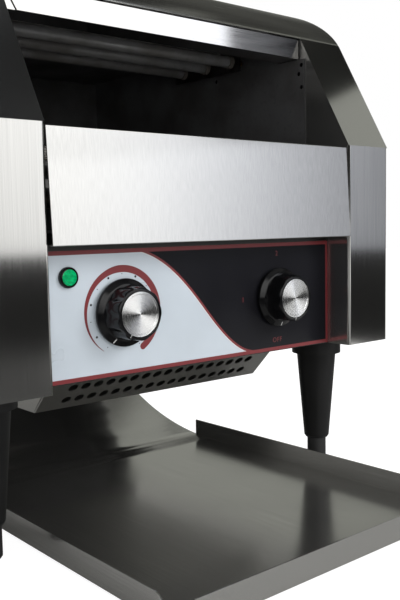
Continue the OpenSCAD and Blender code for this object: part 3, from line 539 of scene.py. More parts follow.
@dataclass(frozen=True)
class LitLens:
    """A coloured lens that glows a little, with painted shade on the lower faces of its cuts,
    where the glow is weaker.
    """

    name: str
    tone: Colour
    glow: float
    clouds_per_metre: float = 420.0

    def build(self) -> bpy.types.Material:
        """Makes the material.

        Returns:
            The material.
        """
        material, graph, shader = new_material(self.name)
        depth = graph.specks(self.clouds_per_metre, 2.0)
        toned = graph.between(depth, scaled(self.tone, 0.75), scaled(self.tone, 1.2))
        # Painted shade: the glow is weaker on cut faces that face down, as if light fell from
        # above
        painted_top_light = graph.ramp(graph.axes(graph.facing())[2], -0.3, 0.4)
        graph.feed(shader, {
            "Base Color": toned, "Roughness": graph.uneven(depth, 0.16, 0.04, 0.04),
            "Emission Color": graph.mix(painted_top_light, scaled(self.tone, 0.3), toned),
            "Emission Strength": self.glow, "Coat Weight": 0.5})
        return material


def make_finishes() -> dict[str, bpy.types.Material]:
    """Makes one material for each of the record's slots, and the other finishes.

    Returns:
        The materials by slot or finish name.
    """
    finishes = (
        BrushedSteel("stainless_casing", (0.60, 0.595, 0.580), 0.125, Grain.UPRIGHT,
                     line_contrast=0.045, line_depth=0.008, anisotropy=0.93, smudge=0.005,
                     satin_within=140 * MM),
        BrushedSteel("stainless_cover", (0.46, 0.455, 0.43), 0.25, Grain.ACROSS,
                     line_contrast=0.06, line_depth=0.02, anisotropy=0.5, smudge=0.01),
        BrushedSteel("polished_trim", (0.66, 0.65, 0.635), 0.055, Grain.ACROSS,
                     line_contrast=0.06, line_depth=0.012, smudge=0.01),
        BrushedSteel("tray_stainless", (0.52, 0.515, 0.495), 0.17, Grain.DEEP,
                     line_contrast=0.09, line_depth=0.02, anisotropy=0.6, smudge=0.015, dull=0.05),
        BrushedSteel("vented_sheet", (0.42, 0.415, 0.395), 0.42, Grain.ACROSS,
                     line_contrast=0.06, line_depth=0.02, smudge=0.02),
        # A near-black sheet for the control panel: painted shadow on the strip above the film,
        # under the guard
        BrushedSteel("shadow_painted_sheet", (0.07, 0.07, 0.068), 0.45, Grain.ACROSS,
                     line_contrast=0.06, line_depth=0.02, smudge=0.02),
        BrushedSteel("turned_steel", (0.55, 0.55, 0.55), 0.25, Grain.DEEP),
        HeatedSteel("galvanised_steel", (0.50, 0.51, 0.52), (0.42, 0.43, 0.45), 0.42, 10 * MM),
        HeatedSteel("heated_bracket", (0.10, 0.098, 0.095), (0.06, 0.055, 0.05), 0.4, 20 * MM),
        HeatedSteel("chamber_steel", (0.11, 0.11, 0.113), (0.07, 0.067, 0.065), 0.45, metal=0.5),
        # chamber_side: painted shade darkens the plates' front-facing cut edges
        HeatedSteel("chamber_side", (0.13, 0.13, 0.134), (0.08, 0.077, 0.075), 0.45, metal=0.5,
                    front_painted_shade=0.3),
        HeatedSteel("reflector_aluminium", (0.62, 0.62, 0.61), (0.46, 0.44, 0.42), 0.42,
                    metal=0.5),
        HeatedSteel("sprocket_steel", (0.32, 0.32, 0.33), (0.22, 0.21, 0.20), 0.4, 20 * MM),
        HeatedSteel("belt_wire", (0.42, 0.40, 0.37), (0.30, 0.25, 0.19), 0.3, 30 * MM),
        HeatedSteel("heater_sheath", (0.25, 0.25, 0.25), (0.17, 0.163, 0.155), 0.42, 30 * MM,
                    metal=0.6),
        HeatedSteel("brass", (0.60, 0.44, 0.20), (0.42, 0.30, 0.14), 0.33, 10 * MM),
        SpunMetal("spun_aluminium", (1.0, 1.0, 1.0), 0.26),
        LitLens("green_lens", (0.0, 0.30, 0.10), glow=0.4),
        Moulded("black_plastic", (0.012, 0.012, 0.013), 0.35),
        Moulded("knob_plastic", (0.004, 0.004, 0.0045), 0.13, texture_depth=0.015, specular=0.3),
        Moulded("ceramic", (0.07, 0.062, 0.054), 0.4, shade=0.3),
        Moulded("motor_paint", (0.05, 0.055, 0.06), 0.4),
        Moulded("circuit_board", (0.01, 0.09, 0.03), 0.35, shade=0.3),
        Moulded("terminal_plastic", (0.62, 0.60, 0.52), 0.35),
        Moulded("leg_plastic", (0.006, 0.006, 0.006), 0.45, 0.9 * MM, 0.14, specular=0.3),
        Moulded("foot_rubber", (0.012, 0.012, 0.012), 0.55, 0.9 * MM, 0.16),
        Ink("printed_film", (0.485, 0.535, 0.585), 0.30, metal=0.18),
        Ink("ink_dark", (0.008, 0.008, 0.010), 0.22, specular=0.12),
        Ink("ink_red", (0.15, 0.018, 0.021), 0.36),
        Ink("ink_dull_red", (0.12, 0.014, 0.015), 0.36),
        Ink("ink_black", (0.006, 0.006, 0.007)),
        Ink("ink_white", (0.6, 0.6, 0.59)),
    )
    return {finish.name: finish.build() for finish in finishes}


# ---------------------------------------------------------------- mesh helpers


def object_from(name: str, mesh: bpy.types.Mesh, material: bpy.types.Material) -> bpy.types.Object:
    """Links a mesh into the scene as one object.

    Args:
        name: the object's name.
        mesh: its mesh.
        material: its finish.

    Returns:
        The object.
    """
    mesh.materials.clear()
    mesh.materials.append(material)
    item = bpy.data.objects.new(name, mesh)
    bpy.context.scene.collection.objects.link(item)
    return item


def mesh_from(name: str, shape: bmesh.types.BMesh) -> bpy.types.Mesh:
    """Turns a shape into a mesh, and frees the shape.

    Args:
        name: the mesh's name.
        shape: the shape.

    Returns:
        The mesh.
    """
    mesh = bpy.data.meshes.new(name)
    shape.to_mesh(mesh)
    shape.free()
    return mesh


def flat_print(name: str, outlines: Iterable[Sequence[Point2]], face_y: float, lift: float,
               material: bpy.types.Material) -> bpy.types.Object:
    """A thin printed shape on a plane that faces the front.

    Args:
        name: the object's name.
        outlines: closed outlines as (x, z) points; one inside another is a hole.
        face_y: where the printed plane lies.
        lift: how far the ink stands in front of it.
        material: the ink.

    Returns:
        The object.
    """
    curve = bpy.data.curves.new(name, "CURVE")
    curve.dimensions = "2D"
    curve.fill_mode = "BOTH"
    curve.extrude = lift / 2
    for outline in outlines:
        spline = curve.splines.new("POLY")
        spline.points.add(len(outline) - 1)
        for point, (x, z) in zip(spline.points, outline):
            point.co = (x, z, 0.0, 1.0)
        spline.use_cyclic_u = True
    return settle_flat(name, curve, face_y, lift, material)


def settle_flat(name: str, curve: bpy.types.Curve, face_y: float, lift: float,
                material: bpy.types.Material) -> bpy.types.Object:
    """Turns a flat curve or text into a mesh that stands on a plane facing the front.

    Args:
        name: the object's name.
        curve: the curve, drawn in its own X and Y.
        face_y: where the printed plane lies.
        lift: how far the ink stands in front of it.
        material: the ink.

    Returns:
        The object.
    """
    holder = bpy.data.objects.new(name + "_curve", curve)
    bpy.context.scene.collection.objects.link(holder)
    bpy.context.view_layer.update()
    evaluated = holder.evaluated_get(bpy.context.evaluated_depsgraph_get())
    mesh = bpy.data.meshes.new_from_object(evaluated)
    bpy.data.objects.remove(holder)
    upright = Matrix.Rotation(math.pi / 2, 4, "X")
    mesh.transform(Matrix.Translation((0, face_y - lift / 2, 0)) @ upright)
    return object_from(name, mesh, material)


def polar(centre: Point2, radius: float, angle: float) -> Point2:
    """A point at a radius and an angle.

    Args:
        centre: the point that it is measured from, as (x, z).
        radius: how far away it lies.
        angle: its angle in degrees, from +X towards +Z.

    Returns:
        The point as (x, z).
    """
    turn = math.radians(angle)
    return centre[0] + radius * math.cos(turn), centre[1] + radius * math.sin(turn)


def arc_points(centre: Point2, radius: float, start: float, end: float,
               steps: int) -> list[Point2]:
    """Points along an arc.

    Args:
        centre: its centre, as (x, z).
        radius: its radius.
        start: its first angle in degrees, from +X towards +Z.
        end: its last angle.
        steps: how many stretches.

    Returns:
        The points.
    """
    return [polar(centre, radius, start + (end - start) * i / steps) for i in range(steps + 1)]


def rectangle(left: float, right: float, bottom: float, top: float) -> list[Point2]:
    """A rectangle's corners as (x, z)."""
    return [(left, bottom), (right, bottom), (right, top), (left, top)]


def middle(low: Vector, high: Vector) -> Vector:
    """A point on the axis of a round piece that faces the front, with its y left at zero."""
    return Vector(((low.x + high.x) / 2, 0, (low.z + high.z) / 2))


def turned_about_y(name: str, rings: Sequence[tuple[float, RadiusAt]], centre: Vector,
                   around: int, material: bpy.types.Material, crisp: float) -> bpy.types.Object:
    """A smooth closed form made of rings about an axis along Y.

    Args:
        name: the object's name.
        rings: each ring's y, and its radius at an angle in radians.
        centre: a point on the axis, whose y is left out.
        around: how many points a ring has.
        material: its finish.
        crisp: the angle in degrees above which an edge stays sharp.

    Returns:
        The object.
    """
    shape = bmesh.new()
    angles = [2 * math.pi * i / around for i in range(around)]
    loops = [[shape.verts.new((centre.x + radius_at(a) * math.cos(a), y,
                               centre.z + radius_at(a) * math.sin(a))) for a in angles]
             for y, radius_at in rings]
    for first, second in zip(loops, loops[1:]):
        for i in range(around):
            j = (i + 1) % around
            shape.faces.new((first[i], first[j], second[j], second[i]))
    shape.faces.new(reversed(loops[0]))
    shape.faces.new(loops[-1])
    bmesh.ops.recalc_face_normals(shape, faces=shape.faces)
    mesh = mesh_from(name, shape)
    for polygon in mesh.polygons:
        polygon.use_smooth = True
    mesh.set_sharp_from_angle(angle=math.radians(crisp))
    return object_from(name, mesh, material)


def soften_edges(item: bpy.types.Object, width: float) -> None:
    """Rounds an object's sharp edges, so that they catch light.

    Args:
        item: the object.
        width: the size of the rounding.
    """
    weld = item.modifiers.new("weld", "WELD")
    weld.merge_threshold = 0.01 * MM
    bevel = item.modifiers.new("rounded_edges", "BEVEL")
    bevel.width = width
    bevel.segments = 2
    bevel.limit_method = "ANGLE"
    bevel.angle_limit = FOLD_ANGLE
    bevel.use_clamp_overlap = True
    bevel.harden_normals = True


# ---------------------------------------------------------------- sub-assemblies


@dataclass(frozen=True)
class Kit:
    """What every sub-assembly draws on: the finishes, the model's nodes, and each node's slot."""

    finishes: dict[str, bpy.types.Material]
    nodes: dict[str, bpy.types.Object]
    slots: dict[str, str]


@dataclass
class SubAssembly:
    """Pieces that belong together: nodes of the model to dress, and new pieces on one body."""

    kit: Kit
    body: str = "casing"
    members: tuple[str, ...] = ()
    folded: tuple[str, ...] = ()
    edge_width: float = 0.3 * MM

    def build(self) -> None:
        """Dresses the nodes in their finishes and rounds the folded sheets' edges."""
        for name in self.members:
            self.dress(name, self.kit.slots[name])
        for name in self.folded:
            soften_edges(self.kit.nodes[name], self.edge_width)

    def dress(self, name: str, finish: str) -> None:
        """Gives one node its finish.

        Args:
            name: the node.
            finish: the finish's name.
        """
        node = self.kit.nodes[name]
        node.data.materials.clear()
        node.data.materials.append(self.kit.finishes[finish])
        log.info("%s: %s in %s", type(self).__name__, name, finish)

    def place(self, item: bpy.types.Object, slot: str) -> bpy.types.Object:
        """Lets a new piece ride on the body.

        Args:
            item: the piece.
            slot: a material slot; not used.

        Returns:
            The piece.
        """
        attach(item, self.body)
        log.info("%s: made %s on %s", type(self).__name__, item.name, self.body)
        return item


@dataclass
class Casing(SubAssembly):
    """The side shells, cover, hood lip, guard, rear panel and base."""

    members: tuple[str, ...] = ("left_side_shell", "right_side_shell", "top_cover", "hood_lip",
                                "front_guard", "rear_panel", "base_plate", "fasteners")
    folded: tuple[str, ...] = ("left_side_shell", "right_side_shell", "top_cover", "hood_lip",
                               "front_guard")
    edge_width: float = 0.45 * MM


@dataclass
class Chamber(SubAssembly):
    """The toasting chamber's plates and reflectors."""

    members: tuple[str, ...] = ("ceiling_plate", "chamber_floor", "rear_baffle",
                                "upper_reflector", "lower_reflector")
    sides: tuple[str, ...] = ("left_chamber_plate", "right_chamber_plate")

    def build(self) -> None:
        """Dresses the plates, with painted shade on the side plates' front-facing cut edges,
        darker than their faces.
        """
        super().build()
        for name in self.sides:
            self.dress(name, "chamber_side")


@dataclass
class Heating(SubAssembly):
    """The sheathed heaters with their brackets, insulators and nuts."""

    members: tuple[str, ...] = ("upper_heaters", "lower_heaters", "heater_insulators",
                                "heater_nuts")

    def build(self) -> None:
        """Dresses the heaters, and the brackets in steel that heat has darkened."""
        super().build()
        self.dress("heater_brackets", "heated_bracket")


@dataclass
class Conveyor(SubAssembly):
    """The wire belt, its shafts, sprockets and bushes."""

    members: tuple[str, ...] = ("conveyor_belt", "front_shaft", "front_sprockets", "rear_shaft",
                                "rear_sprockets", "shaft_bushes")


@dataclass
class Drive(SubAssembly):
    """The geared motor, its bracket, the chain and its sprockets."""

    members: tuple[str, ...] = ("driven_sprocket", "drive_chain", "motor_sprocket", "motor_shaft",
                                "gear_motor", "motor_bracket")


@dataclass
class Electrics(SubAssembly):
    """The fan, the switches behind the panel, the board, the terminals and the cord's gland."""

    members: tuple[str, ...] = ("fan_frame", "fan_rotor", "speed_control", "mode_switch",
                                "speed_shaft", "mode_shaft", "control_board", "terminal_block",
                                "cord_gland")


@dataclass
class Underside(SubAssembly):
    """The vented pan, the legs and their feet."""

    members: tuple[str, ...] = ("leg_front_left", "leg_front_right", "leg_rear_left",
                                "leg_rear_right", "foot_front_left", "foot_front_right",
                                "foot_rear_left", "foot_rear_right")
    folded: tuple[str, ...] = ("vent_skirt",)

    def build(self) -> None:
        """Dresses the pieces, with the pan in a duller sheet than the casing's."""
        super().build()
        self.dress("vent_skirt", "vented_sheet")


@dataclass
class CatchTray(SubAssembly):
    """The toast tray and its pads."""

    members: tuple[str, ...] = ("toast_tray", "tray_bumpers")
    folded: tuple[str, ...] = ("toast_tray",)
    edge_width: float = 0.45 * MM


class Layer(Enum):
    """How far a print stands out from the film, in layers of ink."""

    FIELD = 1.0
    EDGE = 1.2
    LINE = 1.5
    BORDER = 2.0
    MARK = 2.4


@dataclass
class ControlPanel(SubAssembly):
    """The panel and its printed film: fields, border, dial arc, dots and marks."""

    members: tuple[str, ...] = ("panel_overlay",)
    folded: tuple[str, ...] = ("control_panel",)
    lift: float = 0.04 * MM
    border: float = 2.7 * MM
    inset: float = 0.3 * MM
    wave_half: float = 55.0 * MM
    wave_rise: float = 41.0 * MM
    wave_centre: Point2 = (-1.8 * MM, 152.5 * MM)
    wave_stretch: float = 0.22
    wave_line: float = 1.7 * MM
    wave_steps: int = 48
    pale_edge: float = 0.5 * MM
    arc_radius: float = 28.8 * MM
    arc_start: float = 237.0
    arc_end: float = -57.0
    arc_thin: float = 0.3 * MM
    arc_thick: float = 4.7 * MM
    arc_growth: float = 2.1
    arc_steps: int = 72
    tip_steps: int = 12
    dot_radius: float = 25.4 * MM
    dot_sizes: Point2 = (0.35 * MM, 0.8 * MM)
    dot_count: int = 13
    dot_around: int = 24
    dot_start: float = 240.0
    dot_turn: float = -25.0
    letter_size: float = 5.265 * MM
    letter_spacing: float = 1.15
    mark_reach: Point2 = (36.0 * MM, 33.5 * MM)
    marks: tuple[tuple[str, int, int], ...] = (("OFF", 0, -1), ("1", -1, 0), ("2", 0, 1),
                                               ("3", 1, 0))

    def edges(self) -> tuple[float, float, float, float, float]:
        """The film's face and outline: y, left, right, bottom and top."""
        low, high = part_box("panel_overlay")
        return low.y, low.x, high.x, low.z, high.z

    def stamp(self, name: str, outlines: Iterable[Sequence[Point2]], layer: Layer,
              ink: str) -> None:
        """Prints one shape on the film.

        Args:
            name: the shape's name.
            outlines: its closed outlines as (x, z) points.
            layer: how far it stands out.
            ink: the ink's name.
        """
        material = self.kit.finishes[ink]
        item = flat_print(name, outlines, self.edges()[0], self.lift * layer.value, material)
        self.place(item, "printed_film")

    def wave(self, shift: float = 0.0) -> list[Point2]:
        """Points along the line between the fields, from the top edge to the bottom.

        Args:
            shift: how far the points lie to the right of the line.

        Returns:
            The points as (x, z).
        """
        *_, bottom, top = self.edges()
        line = []
        for i in range(self.wave_steps + 1):
            t = -1 + 2 * i / self.wave_steps
            stretch = self.wave_stretch * min(t, 0.0) ** 2
            x = self.wave_centre[0] + (t - stretch) * self.wave_half
            z = self.wave_centre[1] - self.wave_rise * math.sin(math.pi / 2 * t)
            run = self.wave_half * (1 - 2 * self.wave_stretch * min(t, 0.0))
            slope = Vector((run, -self.wave_rise * math.pi / 2 * math.cos(math.pi / 2 * t)))
            side = Vector((-slope.y, slope.x)).normalized() * shift
            z = min(max(z + side.y, bottom + self.inset), top - self.inset)
            line.append((x + side.x, z))
        return line

    def build(self) -> None:
        """Dresses the film, and the panel round it in a dark sheet that paints the shadow under
        the guard, and prints the fields and the border.
        """
        super().build()
        # Painted shadow: the panel's strip above the film takes a near-black sheet
        self.dress("control_panel", "shadow_painted_sheet")
        _, left, right, bottom, top = self.edges()
        line, far = self.wave(), self.wave(self.wave_line)
        low, high, end = bottom + self.inset, top - self.inset, right - self.inset
        dark = [*far, (far[-1][0], low), (end, low), (end, high)]
        b = self.border
        frame = [rectangle(left, right, bottom, top),
                 rectangle(left + b, right - b, bottom + b, top - b)]
        self.stamp("dark_field", [dark], Layer.FIELD, "ink_dark")
        self.stamp("field_line", [[*line, *reversed(far)]], Layer.LINE, "ink_red")
        pale = [*self.wave(-self.pale_edge), *reversed(line)]
        self.stamp("field_edge", [pale], Layer.EDGE, "ink_white")
        self.stamp("film_border", frame, Layer.BORDER, "ink_red")
        self.build_speed_scale()
        self.build_mode_marks()

    def build_speed_scale(self) -> None:
        """Prints the growing arc and the dots around the speed knob."""
        axis = middle(*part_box("speed_knob"))
        hub = (axis.x, axis.z)
        outer, inner = [], []
        for i in range(self.arc_steps + 1):
            t = i / self.arc_steps
            angle = self.arc_start + (self.arc_end - self.arc_start) * t
            growth = min(1.0, t * self.arc_growth)
            half = (self.arc_thin + (self.arc_thick - self.arc_thin) * growth) / 2
            outer.append(polar(hub, self.arc_radius + half, angle))
            inner.append(polar(hub, self.arc_radius - half, angle))
        tip = polar(hub, self.arc_radius, self.arc_end)
        rounded = arc_points(tip, self.arc_thick / 2, self.arc_end, self.arc_end - 180,
                             self.tip_steps)
        arc = [*outer, *rounded[1:-1], *reversed(inner)]
        self.stamp("speed_arc", [arc], Layer.FIELD, "ink_red")
        dots, steps = [], self.dot_around - 1
        for k in range(self.dot_count):
            centre = polar(hub, self.dot_radius, self.dot_start + self.dot_turn * k)
            end = 360 * steps / self.dot_around
            dots.append(arc_points(centre, self.dot_sizes[k % 2], 0, end, steps))
        self.stamp("speed_dots", dots, Layer.FIELD, "ink_black")

    def build_mode_marks(self) -> None:
        """Prints OFF and three numbers around the mode knob."""
        hub = middle(*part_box("mode_knob"))
        for words, right, up in self.marks:
            text = bpy.data.curves.new("mark_" + words, "FONT")
            text.body = words
            text.size = self.letter_size
            text.align_x = text.align_y = "CENTER"
            text.extrude = self.lift / 2
            text.space_character = self.letter_spacing
            item = settle_flat("mark_" + words, text, self.edges()[0],
                               self.lift * Layer.MARK.value, self.kit.finishes["ink_dull_red"])
            reach = Vector((right * self.mark_reach[0], 0, up * self.mark_reach[1]))
            item.data.transform(Matrix.Translation(hub + reach))
            self.place(item, "printed_film")


@dataclass
class Dial(SubAssembly):
    """One control knob: a lobed glossy grip on a wide skirt, its pointer, and its metal cap.

    A ring is how far it lies in from the back or the nose, its radius, both in millimetres,
    and its share of the hollows between the lobes. A line's end is the same without the share.
    """

    node: str = "speed_knob"
    pointer: float = 240.0
    lobes: int = 9
    lobe_depth: float = 1.2 * MM
    lobe_sharpness: float = 1.6
    around: int = 192
    back_rings: tuple[Ring, ...] = (
        (4.0, 10.0, 0.0), (0.0, 10.0, 0.0), (0.0, 22.0, 0.0), (0.15, 22.35, 0.0),
        (0.5, 22.5, 0.0), (1.9, 22.5, 0.0), (2.25, 22.38, 0.0), (2.5, 22.05, 0.0),
        (4.0, 19.6, 0.0), (4.35, 19.1, 0.0), (4.5, 18.7, 0.0), (4.65, 18.25, 0.9),
        (5.2, 17.95, 1.0), (11.0, 17.85, 1.0))
    nose_rings: tuple[Ring, ...] = (
        (1.5, 17.5, 0.9), (0.7, 17.3, 0.6), (0.2, 16.7, 0.1), (0.0, 16.0, 0.0),
        (0.0, 14.7, 0.0), (1.0, 14.65, 0.0))
    back_line: tuple[Point2, Point2] = ((4.4, 18.9), (2.55, 22.0))
    nose_line: tuple[Point2, Point2] = ((0.0, 14.8), (0.16, 16.6))
    line_half: float = 0.38 * MM
    line_lift: float = 0.05 * MM
    line_t: float = 0.08 * MM

    def lobed(self, radius: float, share: float) -> RadiusAt:
        """A ring's radius by angle, with the grip's hollows.

        Args:
            radius: the ring's largest radius.
            share: how much of the hollows' depth it has.

        Returns:
            The radius at an angle.
        """
        def radius_at(angle: float) -> float:
            """The radius at an angle in radians."""
            hollow = (0.5 - 0.5 * math.cos(self.lobes * angle)) ** self.lobe_sharpness
            return radius - share * self.lobe_depth * hollow
        return radius_at

    def build(self) -> None:
        """Dresses the cap, and builds the knob in place of its plain solid, and its pointer."""
        self.dress(self.node + "_cap", "spun_aluminium")
        low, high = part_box(self.node)
        centre, back, nose = middle(low, high), high.y, low.y
        rings = [(y + inward * deep * MM, self.lobed(radius * MM, share))
                 for y, inward, half in ((back, -1, self.back_rings), (nose, 1, self.nose_rings))
                 for deep, radius, share in half]
        grip = turned_about_y(self.node + "_grip", rings, centre, self.around,
                              self.kit.finishes["knob_plastic"], crisp=42)
        self.place(grip, "knob_plastic")
        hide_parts(self.node)
        self.build_line("skirt", centre, [(back - d * MM, r * MM) for d, r in self.back_line])
        self.build_line("nose", centre, [(nose + d * MM, r * MM) for d, r in self.nose_line])

    def build_line(self, part: str, centre: Vector, ends: Sequence[Point2]) -> None:
        """Lays one stretch of the pointer's white line on the knob.

        Args:
            part: what it lies on.
            centre: a point on the knob's axis.
            ends: the y and the radius of its two ends.
        """
        angle = math.radians(self.pointer)
        out = Vector((math.cos(angle), 0, math.sin(angle)))
        side = Vector((-out.z, 0, out.x)) * self.line_half
        starts, stops = (centre + out * radius + Vector((0, y - self.line_lift, 0))
                         for y, radius in ends)
        shape = bmesh.new()
        order = (starts - side, starts + side, stops + side, stops - side)
        face = shape.faces.new([shape.verts.new(point) for point in order])
        made = bmesh.ops.extrude_face_region(shape, geom=[face])
        moved = [v for v in made["geom"] if isinstance(v, bmesh.types.BMVert)]
        bmesh.ops.translate(shape, verts=moved, vec=(0, self.line_t, 0))
        bmesh.ops.recalc_face_normals(shape, faces=shape.faces)
        mesh = mesh_from(f"{self.node}_{part}_line", shape)
        line = object_from(mesh.name, mesh, self.kit.finishes["ink_white"])
        self.place(line, "knob_plastic")


@dataclass
class Lamp(SubAssembly):
    """The green lamp: a glossy rounded bezel and a lens cut in small pyramids.

    A step of the bezel's rounding is how far it lies behind the front, and how far in from
    the rim, both in millimetres.
    """

    bezel_r: float = 6.75 * MM
    bezel_fit: float = 0.12 * MM
    neck_t: float = 0.6 * MM
    rim_t: float = 1.2 * MM
    dish: float = 0.25 * MM
    bore_stop: float = 1.0 * MM
    bezel_around: int = 96
    rounding: tuple[Point2, ...] = ((1.0, 0.15), (0.4, 0.45), (0.1, 0.85), (0.0, 1.2))
    cut_step: float = 1.3 * MM
    cut_depth: float = 0.55 * MM
    cut_within: float = 0.93
    dome: float = 1.1 * MM

    def build(self) -> None:
        """Builds the lens and the bezel in place of their plain solids."""
        low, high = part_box("lamp_lens")
        centre, radius = middle(low, high), (high.x - low.x) / 2
        self.build_lens(centre, radius, low.y, high.y)
        bezel_low, bezel_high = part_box("lamp_bezel")
        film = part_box("panel_overlay")[0].y
        front, back = bezel_low.y, bezel_high.y
        bore, neck = radius + self.bezel_fit, radius + self.neck_t
        rings = [
            (back, bore), (back, neck), (film, neck), (film, self.bezel_r),
            (film - self.rim_t, self.bezel_r),
            *((front + deep * MM, self.bezel_r - aside * MM) for deep, aside in self.rounding),
            (front + self.dish, bore), (back - self.bore_stop, bore),
        ]
        round_rings = [(y, (lambda angle, r=r: r)) for y, r in rings]
        bezel = turned_about_y("lamp_bezel_ring", round_rings, centre, self.bezel_around,
                               self.kit.finishes["knob_plastic"], crisp=50)
        self.place(bezel, "black_plastic")
        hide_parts("lamp_bezel")

    def build_lens(self, centre: Vector, radius: float, front: float, back: float) -> None:
        """Builds the lens as a grid of pyramids on a low dome, with its lines at 45 degrees.

        Args:
            centre: a point on the lamp's axis.
            radius: the lens's radius.
            front: the y of its front.
            back: the y of its back.
        """
        shape = bmesh.new()
        count = 4 * math.ceil(radius / self.cut_step)
        step = 2 * radius / count
        grid = {}
        for i in range(count + 1):
            for j in range(count + 1):
                u, v = -radius + i * step, -radius + j * step
                reach = math.hypot(u, v)
                if reach > radius * 1.001:
                    u, v, reach = u * radius / reach, v * radius / reach, radius
                dome = self.dome * (reach / radius) ** 2
                at_peak = (i + j) % 2 == 0 and reach < radius * self.cut_within
                y = front + dome + (0.0 if at_peak else self.cut_depth)
                place = Vector((u - v, 0, u + v)) * math.sqrt(0.5) + Vector((0, y, 0))
                grid[i, j] = shape.verts.new(centre + place)
        for i in range(count):
            for j in range(count):
                shape.faces.new((grid[i, j], grid[i + 1, j], grid[i + 1, j + 1], grid[i, j + 1]))
        bmesh.ops.remove_doubles(shape, verts=shape.verts, dist=0.001 * MM)
        rim = [e for e in shape.edges if e.is_boundary]
        made = bmesh.ops.extrude_edge_only(shape, edges=rim)
        for vert in (v for v in made["geom"] if isinstance(v, bmesh.types.BMVert)):
            vert.co.y = back
        bmesh.ops.holes_fill(shape, edges=[e for e in shape.edges if e.is_boundary])
        bmesh.ops.recalc_face_normals(shape, faces=shape.faces)
        mesh = mesh_from("lamp_lens_cut", shape)
        lens = object_from("lamp_lens_cut", mesh, self.kit.finishes["green_lens"])
        self.place(lens, "green_lens")
        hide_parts("lamp_lens")


# ---------------------------------------------------------------- studio


@dataclass(frozen=True)
class Screen:
    """A soft-edged patch of light round the part, which only metal shows.

    Both fields of four give where it starts, is full, is still full and ends: bearings in
    degrees from the front towards the right, and heights from -1 to 1.
    """

    turn: Four
    rise: Four
    level: float = 1.0

    def seen(self, graph: Graph, bearing: Socket, height: Socket) -> Socket:
        """How brightly a direction shows it.

        Args:
            graph: the world's graph.
            bearing: the direction's bearing, in radians.
            height: the direction's height.

        Returns:
            A socket that is the level inside and 0 outside.
        """
        a, b, c, d = (math.radians(v) for v in self.turn)
        low, lower, upper, high = self.rise
        across = graph.math("MULTIPLY", graph.ramp(bearing, a, b),
                            graph.ramp(bearing, c, d, 1.0, 0.0))
        up = graph.math("MULTIPLY", graph.ramp(height, low, lower),
                        graph.ramp(height, upper, high, 1.0, 0.0))
        return graph.math("MULTIPLY", graph.math("MULTIPLY", across, up), self.level)


@dataclass(frozen=True)
class SoftLamp:
    """A square lamp that points at the part, and that metal doesn't show."""

    name: str
    place: tuple[float, float, float]
    size: float
    power: float
    aim: tuple[float, float, float] = (0.0, 0.0, 0.2)

    def hang(self) -> None:
        """Puts the lamp in the scene."""
        data = bpy.data.lights.new(self.name, "AREA")
        data.shape = "SQUARE"
        data.size = self.size
        data.energy = self.power
        item = bpy.data.objects.new(self.name, data)
        item.location = self.place
        run = Vector(self.aim) - Vector(self.place)
        item.rotation_euler = run.to_track_quat("-Z", "Y").to_euler()
        item.visible_glossy = False
        bpy.context.scene.collection.objects.link(item)


